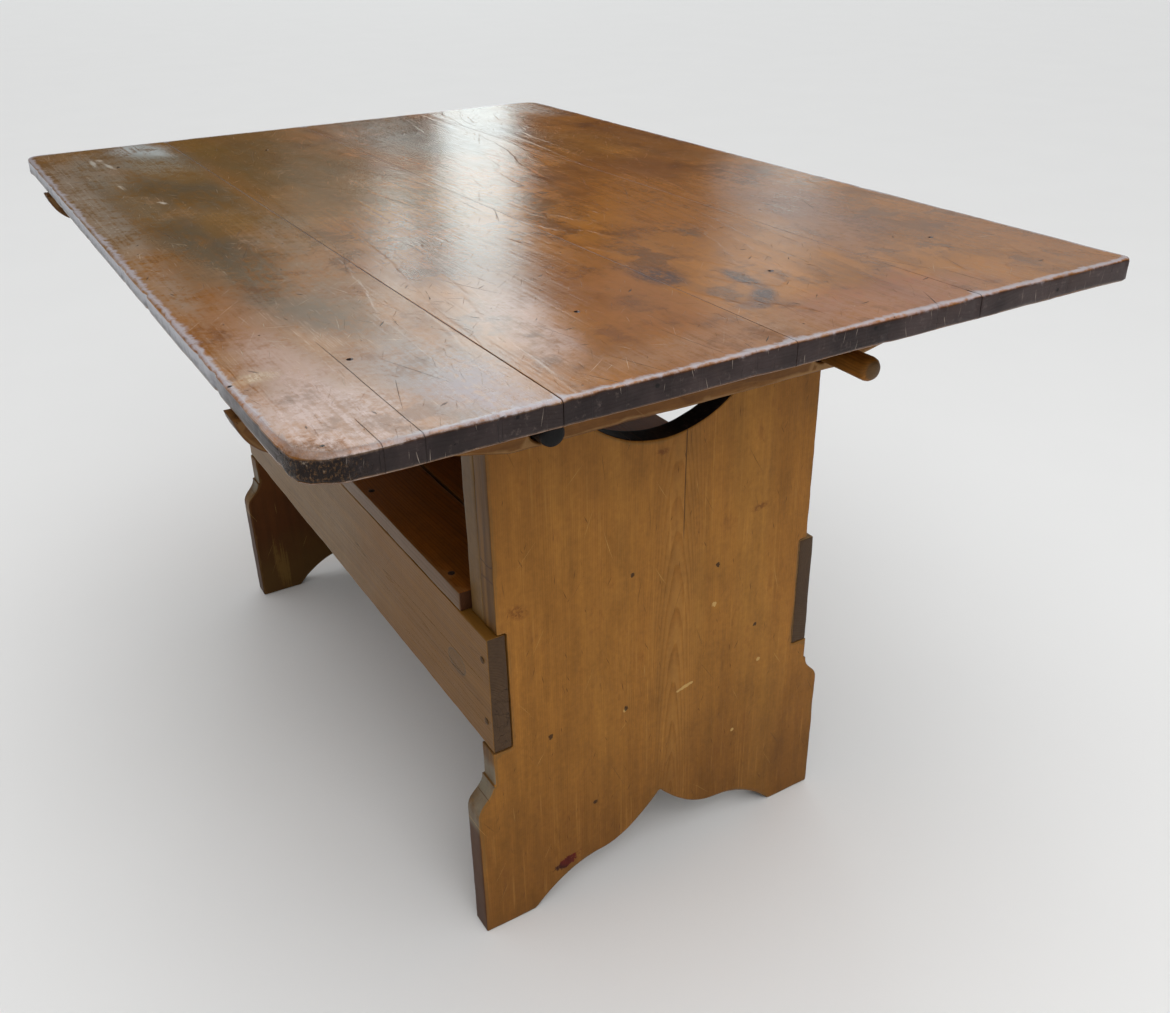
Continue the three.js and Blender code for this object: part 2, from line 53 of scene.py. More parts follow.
body_of = {n: b for b, members in frame["record"]["behaviour"]["bodies"].items() for n in members}
slot_of = {s["node"]: s["material_slot"] for s in frame["record"]["subparts"]}
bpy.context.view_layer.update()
scene = bpy.context.scene

# The top's half length, half width and height, and the places of its seams
HALF_LONG, HALF_WIDE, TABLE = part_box("top_board_4")[1]
SEAMS = [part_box(f"top_board_{i}")[1][1] for i in (1, 2, 3)]

# The photograph's camera
CAMERA = Vector((1.33007, -0.62744, 1.08332))
TARGET = Vector((0.23899, 0.0210, 0.400))
ROLL = math.radians(-1.063)
PHOTO_WIDTH, FOCAL_LENGTH = 1170, 1125.8  # pixels
SENSOR = 36  # millimetres


def linked(name, data):
    """A new object, put in the scene."""
    made = bpy.data.objects.new(name, data)
    scene.collection.objects.link(made)
    return made


def place_camera():
    ahead = (TARGET - CAMERA).normalized()
    right = ahead.cross(Vector((0, 0, 1))).normalized()
    up = right.cross(ahead)
    r = right * math.cos(ROLL) + up * math.sin(ROLL)
    u = up * math.cos(ROLL) - right * math.sin(ROLL)
    data = bpy.data.cameras.new("camera")
    data.sensor_fit, data.sensor_width = "HORIZONTAL", SENSOR
    data.lens = SENSOR * FOCAL_LENGTH / PHOTO_WIDTH
    data.clip_start, data.clip_end = 0.02, 200
    scene.camera = linked("camera", data)
    turn = Matrix((r, u, -ahead)).transposed().to_4x4()
    scene.camera.matrix_world = Matrix.Translation(CAMERA) @ turn


def area_light(name, place, target, wide, high, strength, colour=(1, 1, 1)):
    """A soft panel whose face gives off the radiance strength."""
    data = bpy.data.lights.new(name, "AREA")
    data.shape, data.size, data.size_y = "RECTANGLE", wide, high
    data.energy = strength * math.pi * wide * high
    data.color = colour
    lamp = linked(name, data)
    lamp.location = place
    lamp.rotation_mode = "QUATERNION"
    lamp.rotation_quaternion = (Vector(target) - place).to_track_quat("-Z", "Y")
    lamp.visible_camera = False


def towards(azimuth, elevation, distance):
    """The place at that distance from the middle of the top."""
    a, e = math.radians(azimuth), math.radians(elevation)
    way = Vector((math.cos(a) * math.cos(e), math.sin(a) * math.cos(e), math.sin(e)))
    return Vector((0, 0, TABLE)) + way * distance


# A short way to write node trees
class Num:
    """A number or vector that nodes work out, with sums written as in Python."""

    def __init__(self, g, socket):
        self.g, self.socket = g, socket

    def __add__(self, o):
        return self.g.math("ADD", self, o)

    def __sub__(self, o):
        return self.g.math("SUBTRACT", self, o)

    def __rsub__(self, o):
        return self.g.math("SUBTRACT", o, self)

    def __mul__(self, o):
        return self.g.math("MULTIPLY", self, o)

    def __truediv__(self, o):
        return self.g.math("DIVIDE", self, o)

    def __abs__(self):
        return self.g.math("ABSOLUTE", self)

    __radd__, __rmul__ = __add__, __mul__


def linear(tone):
    """A tone as seen on a screen, 0 to 255, as linear numbers. What nodes work out stays as it is."""
    if isinstance(tone, Num):
        return tone
    return tuple(((c / 255 + 0.055) / 1.055) ** 2.4 if c > 10 else c / 255 / 12.92 for c in tone)


class Graph:
    """The nodes of a new material, or of a tree that is there."""

    groups = {}

    def __init__(self, name, tree=None):
        self.tree = tree
        if tree is None:
            self.material = bpy.data.materials.new(name)
            self.material.use_nodes = True
            self.tree = self.material.node_tree
            self.tree.nodes.clear()
            self.coords = self.node("TexCoord")
            self.place = Num(self, self.coords.outputs["Object"])

    def call(self, build, *values):
        """One node that works out build(graph, numbers), from a group that is made once."""
        name = build.__name__
        if name not in Graph.groups:
            tree = bpy.data.node_groups.new(name, "ShaderNodeTree")
            for i, value in enumerate(values):
                vector = isinstance(value, Num) and value.socket.type == "VECTOR"
                kind = "NodeSocketVector" if vector else "NodeSocketFloat"
                tree.interface.new_socket(f"in_{i}", in_out="INPUT", socket_type=kind)
            tree.interface.new_socket("out", in_out="OUTPUT", socket_type="NodeSocketFloat")
            g = Graph(name, tree)
            first, last = tree.nodes.new("NodeGroupInput"), tree.nodes.new("NodeGroupOutput")
            g.put(last.inputs[0], build(g, *[Num(g, s) for s in first.outputs[:len(values)]]))
            Graph.groups[name] = tree
        return self.out("Group", *values, node_tree=Graph.groups[name])

    def node(self, kind, *values, **settings):
        """A new node with those settings, and with the values in its first inputs."""
        made = self.tree.nodes.new("ShaderNode" + kind)
        for key, value in settings.items():
            setattr(made, key, value)
        for socket, value in zip(made.inputs, values):
            self.put(socket, value)
        return made

    def out(self, kind, *values, **settings):
        """The first output of such a node."""
        return Num(self, self.node(kind, *values, **settings).outputs[0])

    def put(self, socket, value):
        if isinstance(value, Num):
            self.tree.links.new(value.socket, socket)
        elif socket.type == "RGBA":
            socket.default_value = (*value, 1)
        else:
            socket.default_value = value

    def math(self, operation, a, b=0.0):
        return self.out("Math", a, b, operation=operation)

    def vector(self, operation, a, b=(0, 0, 0), c=(0, 0, 0), scale=1.0):
        return self.out("VectorMath", a, b, c, scale, operation=operation)

    def far(self, place):
        """How far the surface is from a place, in metres."""
        return Num(self, self.node("VectorMath", self.place, place, operation="DISTANCE").outputs["Value"])

    def split(self, v):
        return [Num(self, s) for s in self.node("SeparateXYZ", v).outputs]

    def join(self, x, y, z=0.0):
        return self.out("CombineXYZ", x, y, z)

    def noise(self, v, scale, detail, rough, shift=0.0):
        """Smooth noise of about 0.5, with its own scale along each axis, in turns a metre."""
        v = self.vector("MULTIPLY_ADD", v, scale, (shift, shift * 0.7, -shift))
        return self.out("TexNoise", v, 0.0, 1.0, detail, rough)

    def cells(self, v, dimensions):
        """A Voronoi node, and the three parts of its cell's random colour."""
        made = self.node("TexVoronoi", v, 0.0, 1.0, voronoi_dimensions=dimensions)
        return made, *self.split(Num(self, made.outputs["Color"]))

    def step(self, x, low, high):
        """0 below low, 1 above high and smooth between; low may be above high."""
        return self.out("MapRange", x, low, high, interpolation_type="SMOOTHSTEP")

    def mix(self, share, a, b):
        """Tone a with a share of tone b."""
        made = self.node("Mix", share, data_type="RGBA", clamp_factor=True)
        for socket, tone in zip([s for s in made.inputs if s.type == "RGBA"], (a, b)):
            self.put(socket, linear(tone))
        return Num(self, [s for s in made.outputs if s.type == "RGBA"][0])

    def tint(self, tone, amount):
        """The tone times a number."""
        return self.vector("SCALE", linear(tone), scale=amount)

    def attribute(self, name, output="Fac"):
        return Num(self, self.node("Attribute", attribute_name=name).outputs[output])

    def facing(self, axis):
        """How squarely the surface faces along an object axis, from -1 to 1."""
        return self.split(Num(self, self.coords.outputs["Normal"]))[axis]

    def finish(self, colour, rough, height=None, specular=0.5, metal=0.0):
        shader = self.node("BsdfPrincipled", colour, metal, rough)
        shader.inputs["Specular IOR Level"].default_value = specular
        if height is not None:
            bump = self.node("Bump")
            bump.inputs["Strength"].default_value = 1.0
            bump.inputs["Distance"].default_value = 1.0
            self.put(bump.inputs["Height"], height)
            self.put(shader.inputs["Normal"], Num(self, bump.outputs[0]))
        self.node("OutputMaterial", Num(self, shader.outputs[0]))
        return self.material


# Marks on wood
def blob(g, x, y, place, size, turn, soft, ragged, warp):
    """A ragged oval patch, 1 inside and 0 outside. Place and size are in metres."""
    c, s = math.cos(math.radians(turn)), math.sin(math.radians(turn))
    ways = c / size[0], s / size[0], c / size[1], s / size[1]
    return g.call(patch_nodes, x, y, warp, *place, *ways, ragged * 4, 1 + soft / 2, 1 - soft / 2)


def patch_nodes(g, x, y, warp, px, py, ca, sa, cb, sb, ragged, low, high):
    dx, dy = x - px, y - py
    a, b = dx * ca + dy * sa, dy * cb - dx * sb
    return g.step(g.math("SQRT", a * a + b * b) + (warp - 0.5) * ragged, low, high)


def scratches(g, x, y, cell, length, width, share, bend, lean=(math.pi, 2 * math.pi), shift=0.0):
    """Thin marks, at most one to each cell, sizes in metres. lean is their usual direction and its spread."""
    sizes = 1 / cell, shift, length / cell, width / cell
    return g.call(scratch_nodes, x, y, *sizes, share + 0.01, share - 0.01, bend, *lean)


def scratch_nodes(g, x, y, often, shift, length, width, more, less, bend, lean, spread):
    at = g.join(x * often + shift, y * often - shift)
    grid, r, gr, b = g.cells(at, "2D")
    lx, ly, unused = g.split(g.vector("SUBTRACT", at, Num(g, grid.outputs["Position"])))
    angle = (r - 0.5) * spread + lean
    ca, sa = g.math("COSINE", angle), g.math("SINE", angle)
    along = lx * ca + ly * sa
    across = ly * ca - lx * sa + along * along * ((gr - 0.5) * bend)
    inside = 1.0 - abs(along) / ((b * 0.6 + 0.4) * length)
    line = 1.0 - abs(across) / ((gr * 0.8 + 0.4) * width * g.math("MAXIMUM", inside, 0.02))
    keep = g.step(g.math("FRACT", r * 7.31 + b * 3.77), more, less)
    return g.step(line, 0.0, 0.6) * g.step(inside, 0.0, 0.05) * keep


def dots(g, cell, radius, share, shift):
    """Small round pits or specks, at most one to each cell. Sizes are in metres."""
    return g.call(dot_nodes, g.place, 1 / cell, shift, radius / cell, share + 0.01, share - 0.01)


def dot_nodes(g, v, often, shift, radius, more, less):
    at = g.vector("ADD", g.vector("SCALE", v, scale=often), g.join(shift, shift * -1.0, shift * 1.7))
    grid, r, gr, b = g.cells(at, "3D")
    away = Num(g, grid.outputs["Distance"]) / ((gr * 0.7 + 0.5) * radius)
    return g.step(away, 1.0, 0.55) * g.step(r, more, less)


class Wood:
    """Pine with growth rings about a pith that lies below the face: faces show arches and ends show arcs. Its
    colour is what paint and shade have made of it so far."""

    def __init__(self, name, axes, ring, wave=1.0, knot=None, warp=(13, 13, 13), warp_shift=8.0):
        g = self.g = Graph(name)
        seed = g.attribute("shift")
        pith_v, pith_w, taper = g.split(g.attribute("pith", "Vector"))
        xyz = self.x, self.y, self.z = g.split(g.place)
        u, v, w = (xyz[i] for i in axes)
        q = self.q = g.join(u + seed * 3.1, v + seed * 1.7, w - seed * 2.3)
        slow = g.noise(q, (1.1, 6, 6), 2, 0.5)
        wob = g.noise(q, (5, 38, 38), 3, 0.55)
        vv = v - pith_v + (slow - 0.5) * (0.05 * wave)
        ww = w + pith_w + u * taper + (g.noise(q, (0.8, 3, 3), 1, 0.5, 9.0) - 0.5) * (0.04 * wave)
        radius = g.math("SQRT", vv * vv + ww * ww) + (wob - 0.5) * 0.004
        self.knot = None
        if knot:
            ku, kv, kr = knot
            du, dv = (u - ku) * 0.62, v - kv
            d = g.math("SQRT", du * du + dv * dv)
            radius = radius + g.math("POWER", d / (kr * 2.4) + 1.0, -4.0) * (kr * 1.6)
            core = g.step(d + (wob - 0.5) * (kr * 0.5), kr * 1.08, kr * 0.86)
            rim = g.step(abs(d - kr * 1.02), kr * 0.16, 0.0)
            self.knot = core, rim, g.math("SINE", d * (2 * math.pi / (kr * 0.3)))
        uneven = g.noise(g.join(radius * 55 + seed, 0.0), (1, 1, 1), 1, 0.5)
        t = g.math("FRACT", radius / ring + uneven * 3.0)
        self.late = g.step(t, 0.35, 0.88) * g.step(t, 1.0, 0.93)
        self.strong = g.noise(q, (2.0, 22, 22), 2, 0.5, 4.0)
        self.streak = g.noise(q, (5, 260, 260), 3, 0.6, 2.0)
        self.bands = g.noise(q, (3.2, 62, 62), 4, 0.62, 6.0)
        self.fibre = g.noise(q, (45, 1500, 1500), 2, 0.6, 3.0)
        self.broad = g.noise(q, (1.4, 9, 9), 3, 0.55, 7.0)
        self.patch = g.noise(q, (4.5, 11, 11), 4, 0.6, 5.5)
        self.grime = g.noise(g.place, (17, 17, 17), 5, 0.65, 1.3)
        self.speck = g.noise(g.place, (150, 150, 150), 4, 0.66)
        self.warp = g.noise(g.place, warp, 5, 0.62, warp_shift)
        self.end = g.step(abs(g.facing(axes[0])), 0.62, 0.86)
        self.edge = g.attribute("edge")

    def paint(self, share, tone):
        """Lays a tone over the colour where share says."""
        self.colour = self.g.mix(share, self.colour, tone)

    def shade(self, amount):
        self.colour = self.g.tint(self.colour, amount)

    def fade(self, value, spread, low, high):
        """A step whose place wanders with the patches of warp."""
        return self.g.step(value + (self.warp - 0.5) * spread, low, high)

    def base(self, early, late, light, dark, ends, line=0.6, streaky=0.55):
        """The wood's own colour, before what age has put on it."""
        g = self.g
        self.colour = g.mix(self.late * (self.strong * 0.9 + 0.15) * line, early, late)
        self.paint(g.step(self.broad, 0.52, 0.74) * 0.55, light)
        self.paint(g.step(self.patch, 0.55, 0.78) * 0.5, dark)
        self.shade((self.streak * streaky + (1 - streaky / 2)) * (self.bands * 0.6 + 0.7))
        self.shade((self.fibre * 0.26 + 0.87) * (self.patch * 0.5 + 0.75) * (self.speck * 0.5 + 0.75))
        if self.knot:
            core, rim, rings = self.knot
            self.paint(core * 0.75, g.tint(late, rings * 0.16 + 0.64))
            self.paint(rim * 0.6, g.tint(late, 0.3))
        self.paint(self.end * 0.85, g.tint(ends, self.streak * 0.5 + 0.75))

    def relief(self, depth):
        """Ridges of the harder rings, fibres and slow waves, in metres."""
        fine = self.late * 0.00009 + self.streak * 0.00012 + self.fibre * 0.00004
        return (fine + self.grime * 0.0001) * depth


# Worn boards, built on the CAD's outlines
def lattice(ix, iy, iz, seed):
    """A random number of 0 to 1 for each point of a lattice."""
    with np.errstate(over="ignore"):
        h = (ix.astype(np.uint32) * np.uint32(374761393)) ^ (iy.astype(np.uint32) * np.uint32(668265263))
        h ^= iz.astype(np.uint32) * np.uint32(2246822519)
        h += np.uint32(seed * 3266489917 % 2**32)
        h = (h ^ (h >> np.uint32(13))) * np.uint32(1274126177)
        h ^= h >> np.uint32(16)
    return h / 4294967295.0


def value_noise(p, scale, seed, octaves=3):
    """Smooth noise of 0 to 1 at points p, with scale turns a metre."""
    total, weight = np.zeros(len(p)), 0.0
    for octave in range(octaves):
        q = p * (scale * 2**octave) + 71.3 * octave
        base = np.floor(q)
        f = q - base
        f = f * f * (3 - 2 * f)
        i = base.astype(np.int64)
        value = 0.0
        for corner in np.ndindex(2, 2, 2):
            share = np.prod(np.where(corner, f, 1 - f), axis=1)
            value = value + share * lattice(*(i + corner).T, seed + octave)
        amount = 0.5**octave
        total += amount * value
        weight += amount
    return total / weight


STRAIGHT = 0.004  # the sine of a turn that is as good as straight
CORNER = 27  # a turn of more degrees is a corner and not part of a curve
LONGER = 2.5  # a line so many times longer than its neighbour is straight to its end
BORE = 0.03  # a round loop of a smaller radius is a bore
SHARP = 0.9  # faces that turn by more radians have a hard edge between them


def cut_loops(node, axis, depth):
    """The closed outlines of a CAD node in a plane that far above its low side, in the plane's two axes."""
    bm = bmesh.new()
    bm.from_mesh(nodes[node].data)
    bmesh.ops.remove_doubles(bm, verts=bm.verts, dist=2e-6)
    at, normal = Vector((0, 0, 0)), Vector((0, 0, 0))
    at[axis], normal[axis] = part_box(node)[0][axis] + depth, 1
    parts = bm.verts[:] + bm.edges[:] + bm.faces[:]
    found = bmesh.ops.bisect_plane(bm, geom=parts, dist=1e-7, plane_co=at, plane_no=normal)
    near = {}
    for e in found["geom_cut"]:
        if isinstance(e, bmesh.types.BMEdge):
            for a, b in (e.verts, reversed(e.verts)):
                near.setdefault(a, []).append(b)
    loops, seen = [], set()
    for start in near:
        loop, now, last = [], start, None
        while now is not None and now not in seen:
            seen.add(now)
            loop.append((now.co[(axis + 1) % 3], now.co[(axis + 2) % 3]))
            ahead = [n for n in near[now] if n is not last and n not in seen]
            last, now = now, ahead[0] if ahead else None
        loops.append(np.array(loop))
    bm.free()
    loops = [tidy(l) for l in loops if len(l) > 2]
    loops.sort(key=lambda l: -abs(area(l)))
    return [(l if (area(l) > 0) == (i == 0) else l[::-1].copy()) for i, l in enumerate(loops)]


def area(l):
    a, b = l, np.roll(l, -1, 0)
    return 0.5 * np.sum(a[:, 0] * b[:, 1] - a[:, 1] * b[:, 0])


def tidy(l):
    """The loop without repeated points and points on a straight line."""
    while True:
        back, ahead = l - np.roll(l, 1, 0), np.roll(l, -1, 0) - l
        lengths = np.linalg.norm(back, axis=1) * np.linalg.norm(ahead, axis=1)
        cross = back[:, 0] * ahead[:, 1] - back[:, 1] * ahead[:, 0]
        keep = (lengths > 1e-10) & (np.abs(cross) > STRAIGHT * lengths)
        if keep.all() or keep.sum() < 4:
            return l
        drop = np.flatnonzero(~keep)
        l = np.delete(l, drop[::2] if len(drop) > 1 else drop, 0)


def smooth_loop(l, step, wear, seed):
    """The loop with its curves made smooth, its corners worn round, and points about step apart."""
    n = len(l)
    centre = l.mean(0)
    away = np.linalg.norm(l - centre, axis=1)
    if n >= 7 and away.std() < 0.02 * away.mean() and away.mean() < BORE:
        count = max(24, int(2 * math.pi * away.mean() / min(step, 0.003)))
        turn = np.sign(area(l)) * np.linspace(0, 2 * math.pi, count, endpoint=False)
        return centre + away.max() * np.stack([np.cos(turn), np.sin(turn)], 1)
    ahead = np.roll(l, -1, 0) - l
    length = np.linalg.norm(ahead, axis=1)
    way = ahead / length[:, None]
    back, before = np.roll(way, 1, 0), np.roll(length, 1)
    turn = np.degrees(np.arctan2(back[:, 0] * way[:, 1] - back[:, 1] * way[:, 0], (back * way).sum(1)))
    corner = np.abs(turn) > CORNER
    tangent = np.where((before > LONGER * length)[:, None], back, back + way)
    tangent = np.where((length > LONGER * before)[:, None], way, tangent)
    tangent /= np.linalg.norm(tangent, axis=1)[:, None]
    worn = wear * np.random.default_rng(seed).uniform(0.6, 1.4, n)
    trim = np.where(corner, np.minimum(worn, 0.3 * np.minimum(length, before)), 0)
    made = []
    for i in range(n):
        j = (i + 1) % n
        if corner[i]:
            a, b = l[i] - back[i] * trim[i], l[i] + way[i] * trim[i]
            for t in (0.0, 0.25, 0.5, 0.75):
                made.append((1 - t) ** 2 * a + 2 * t * (1 - t) * l[i] + t * t * b)
        p0, p1 = l[i] + way[i] * trim[i], l[j] - way[i] * trim[j]
        size = np.linalg.norm(p1 - p0)
        m0 = way[i] if corner[i] else tangent[i]
        m1 = way[i] if corner[j] else tangent[j]
        count = max(1, int(round(size / step)))
        for t in (k / count for k in range(count)):
            h = (2 * t**3 - 3 * t**2 + 1, t**3 - 2 * t**2 + t, 3 * t**2 - 2 * t**3, t**3 - t**2)
            made.append(h[0] * p0 + h[1] * size * m0 + h[2] * p1 + h[3] * size * m1)
    return np.array(made)


def unfolded(q, l):
    """An inset loop whose points keep the order that they have on the loop l, so that it isn't crossed."""
    ahead = np.roll(l, -1, 0) - l
    size = np.linalg.norm(ahead, axis=1)
    way = ahead / size[:, None]
    for turn in range(60):
        short = np.clip(0.1 * size - ((np.roll(q, -1, 0) - q) * way).sum(1), 0, None)
        if short.max() < 1e-7:
            break
        push = way * short[:, None] * 0.5
        q = q - push + np.roll(push, 1, 0)
    return q


def in_space(flat, axis, height):
    """Points in a plane square to an axis, as points in space."""
    p = np.zeros((len(flat), 3))
    p[:, (axis + 1) % 3], p[:, (axis + 2) % 3], p[:, axis] = flat[:, 0], flat[:, 1], height
    return p


def inside(points, loops):
    """Which points lie within the first loop and outside the others."""
    hits = np.zeros(len(points), int)
    for a in loops:
        b = np.roll(a, -1, 0)
        rise = b[:, 1] - a[:, 1]
        slope = (b[:, 0] - a[:, 0]) / np.where(np.abs(rise) < 1e-15, 1e-15, rise)
        for k in range(0, len(points), 4000):
            px, py = points[k:k + 4000].T[:, :, None]
            crossed = ((a[:, 1] > py) != (b[:, 1] > py)) & (px < a[:, 0] + (py - a[:, 1]) * slope)
            hits[k:k + 4000] += crossed.sum(1)
    return hits % 2 == 1


ARRIS_FACETS = 3
EDGE_ROW = 0.005  # the height of a row of faces up a board's edge
WAVE = 0.00015  # the depth of the waves in a board's faces
SLICE = 0.004  # how far in from its low face a board's outline is read


def edge_rings(l, axis, low, thick, seed, wear, rough, radius, dent, tight, aim):
    """Rings of points round a worn edge, from the low face to the high one, and how near an arris each is."""
    ahead = np.roll(l, -1, 0) - np.roll(l, 1, 0)
    ahead /= np.linalg.norm(ahead, axis=1)[:, None] + 1e-12
    out = np.stack([ahead[:, 1], -ahead[:, 0]], 1)
    soft = []
    for side in (0, 1):
        p = in_space(l, axis, low + thick * side)
        r = radius(p, side, wear * (0.45 + 1.3 * value_noise(p, 22, seed + 5 + side) ** 2 * 2))
        soft.append(np.clip(r, 0.00006, thick * 0.42))
    first, last = soft
    rings, rows = [], max(1, int(thick / EDGE_ROW))
    bend = [(1 - math.sin(a), 1 - math.cos(a)) for a in np.linspace(0, math.pi / 2, ARRIS_FACETS + 1)]
    for k, (across, up) in enumerate(bend):
        rings.append((first * across, first * up, 1.0 - k / ARRIS_FACETS * 0.6))
    for k in range(1, rows):
        rings.append((0 * first, first + (thick - first - last) * (k / rows), 0.35))
    for k, (across, up) in enumerate(bend[::-1]):
        rings.append((last * across, thick - last * up, 0.4 + k / ARRIS_FACETS * 0.6))
    for inset, depth, arris in rings:
        p = in_space(l, axis, low + depth)
        off = rough * value_noise(p, 35, seed, 4) * 1.6 + rough * 0.5 * value_noise(p, 260, seed + 3, 2)
        off = off * tight(p) + dent(p)
        q = unfolded(l - aim(p, out) * (inset + off)[:, None], l)
        yield in_space(q, axis, low + depth), arris


def scattered(rims, step, grid, rng):
    """Points inside the rims, about grid apart, and how far each is from the rims."""
    flat = np.concatenate(rims)
    tree = KDTree(len(flat))
    for i, (x, y) in enumerate(flat):
        tree.insert((x, y, 0), i)
    tree.balance()
    ways = [np.arange(low + grid / 2, high, grid) for low, high in zip(flat.min(0), flat.max(0))]
    spots = np.stack(np.meshgrid(*ways), -1).reshape(-1, 2)
    spots += rng.uniform(-0.3, 0.3, spots.shape) * grid
    spots = spots[inside(spots, rims)]
    gap = np.array([tree.find((x, y, 0))[2] for x, y in spots])
    clear = gap > step * 0.8
    return spots[clear], gap[clear]


def filled(rims, ids, start, up, spots, gap):
    """The triangles of a face between rims whose points have the numbers ids, and the points that it adds,
    numbered from start, with how far each is from the rims. Round bores stay open."""
    lines, at = [], 0
    for count in map(len, rims):
        lines += [(at + i, at + (i + 1) % count) for i in range(count)]
        at += count
    places = [Vector(p) for p in np.concatenate([*rims, spots])]
    found, unused, triangles, origins, *unused = delaunay_2d_cdt(places, lines, [], 2, 1e-9)
    known, extra = [], []
    for place, origin in zip(found, origins):
        if origin and origin[0] < at:
            known.append(ids[origin[0]])
        else:
            known.append(start + len(extra))
            extra.append((place.x, place.y, gap[origin[0] - at] if origin else 0.0))
    p, q, s = np.array([(v.x, v.y) for v in found])[np.array(triangles)].transpose(1, 0, 2)
    turn = (q[:, 0] - p[:, 0]) * (s[:, 1] - p[:, 1]) - (q[:, 1] - p[:, 1]) * (s[:, 0] - p[:, 0])
    kept = (np.abs(turn) > 1e-13) & inside((p + q + s) / 3, rims)
    faces = []
    for i in np.flatnonzero(kept):
        face = [known[k] for k in triangles[i]]
        faces.append(face if (turn[i] > 0) == up else face[::-1])
    return faces, np.array(extra).reshape(-1, 3)


def built(node, verts, faces, mend):
    """A smooth mesh of those points and faces, that mend has seen to."""
    mesh = bpy.data.meshes.new(node + "_worn")
    mesh.from_pydata(verts.tolist(), [], faces)
    mesh.update()
    bm = bmesh.new()
    bm.from_mesh(mesh)
    mend(bm)
    bm.to_mesh(mesh)
    bm.free()
    mesh.shade_smooth()
    return mesh


def close_seams(bm):
    bmesh.ops.holes_fill(bm, edges=[e for e in bm.edges if len(e.link_faces) < 2], sides=0)


def turn_outward(bm):
    bmesh.ops.recalc_face_normals(bm, faces=bm.faces[:])


def lay(mesh, name, kind, domain, key, values):
    """Gives a mesh a named attribute."""
    mesh.attributes.new(name, kind, domain).data.foreach_set(key, values)


def worn_board(node, axis, material, step=0.004, wear=0.0012, rough=0.0003, seed=1, pith=(0.0, 0.04, 0.03),
               grid=0.011, trim=0.0025, bores=(), radius=lambda p, side, r: r, dent=lambda p: 0,
               tight=lambda p: 1, aim=lambda p, out: out):
    """A piece in place of a CAD board, of the same outline and thickness, with worn arrises, uneven edges and
    faint waves. radius, dent, tight and aim give the arris radius, the depth worn off the edge, the share of
    its roughness that stays and the way in which it is worn back, at points p, in metres."""
    low, high = (corner[axis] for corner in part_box(node))
    verts, edge, faces, borders = [], [], [], ([], [])
    start = 0
    for i, loop in enumerate(cut_loops(node, axis, SLICE)):
        l = smooth_loop(loop, step, trim, seed + i)
        n = len(l)
        ring = np.arange(n)
        rings = list(edge_rings(l, axis, low, high - low, seed, wear, rough, radius, dent, tight, aim))
        for points, arris in rings:
            verts.append(points)
            edge.append(np.full(n, arris))
        for a in range(start, start + n * (len(rings) - 1), n):
            faces += [(a + i, a + (i + 1) % n, a + n + (i + 1) % n, a + n + i) for i in range(n)]
        borders[0].append(start + ring)
        start += len(rings) * n
        borders[1].append(start - n + ring)
    verts, edge = np.concatenate(verts), np.concatenate(edge)
    rng = np.random.default_rng(seed)
    for side, rings in enumerate(borders):
        ids = np.concatenate(rings)
        rims = [verts[ring][:, [(axis + 1) % 3, (axis + 2) % 3]] for ring in rings]
        more, extra = filled(rims, ids, len(verts), side == 1, *scattered(rims, step, grid, rng))
        faces += more
        p = in_space(extra, axis, (low, high)[side])
        sink = WAVE * value_noise(p, 9, seed + 11, 2) * np.clip(extra[:, 2] / 0.02, 0, 1)
        p[:, axis] += sink * (-1 if side else 1)
        verts = np.concatenate([verts, p])
        edge = np.concatenate([edge, np.exp(-extra[:, 2] / 0.007)])
    mesh = built(node, verts, faces, close_seams)
    lay(mesh, "edge", "FLOAT", "POINT", "value", edge.astype(np.float32))
    flagged = np.zeros(len(verts), bool)
    flagged[np.concatenate(borders[0] + borders[1])] = True
    ends = np.zeros(len(mesh.edges) * 2, np.int32)
    mesh.edges.foreach_get("vertices", ends)
    lay(mesh, "sharp_edge", "BOOLEAN", "EDGE", "value", flagged[ends.reshape(-1, 2)].all(1))
    if bores:
        mesh = bored(mesh, bores)
    for each in material if isinstance(material, tuple) else (material,):
        mesh.materials.append(each)
    if len(mesh.materials) > 1:
        normals = np.zeros(len(mesh.polygons) * 3, np.float32)
        mesh.polygons.foreach_get("normal", normals)
        steep = np.abs(normals.reshape(-1, 3)[:, axis]) < 0.5
        mesh.polygons.foreach_set("material_index", steep.astype(np.int32))
    stand_in(node, mesh, seed, pith)


def bored(mesh, bores):
    """The mesh with round holes (x, y, radius, bottom, top) cut in it."""
    bm = bmesh.new()
    for x, y, radius, bottom, top in bores:
        middle = Matrix.Translation((x, y, (top + bottom) / 2))
        bmesh.ops.create_cone(bm, cap_ends=True, segments=32, radius1=radius, radius2=radius,
                              depth=top - bottom, matrix=middle)
    tool = bpy.data.meshes.new("bores")
    bm.to_mesh(tool)
    bm.free()
    work, cutter = linked("work", mesh), linked("cutter", tool)
    cut = work.modifiers.new("cut", "BOOLEAN")
    cut.operation, cut.solver, cut.object = "DIFFERENCE", "EXACT", cutter
    made = bpy.data.meshes.new_from_object(work.evaluated_get(bpy.context.evaluated_depsgraph_get()))
    bm = bmesh.new()
    bm.from_mesh(made)
    for e in bm.edges:
        if e.calc_face_angle(0) > SHARP:
            e.smooth = False
    bm.to_mesh(made)
    bm.free()
    bpy.data.objects.remove(work)
    bpy.data.objects.remove(cutter)
    return made


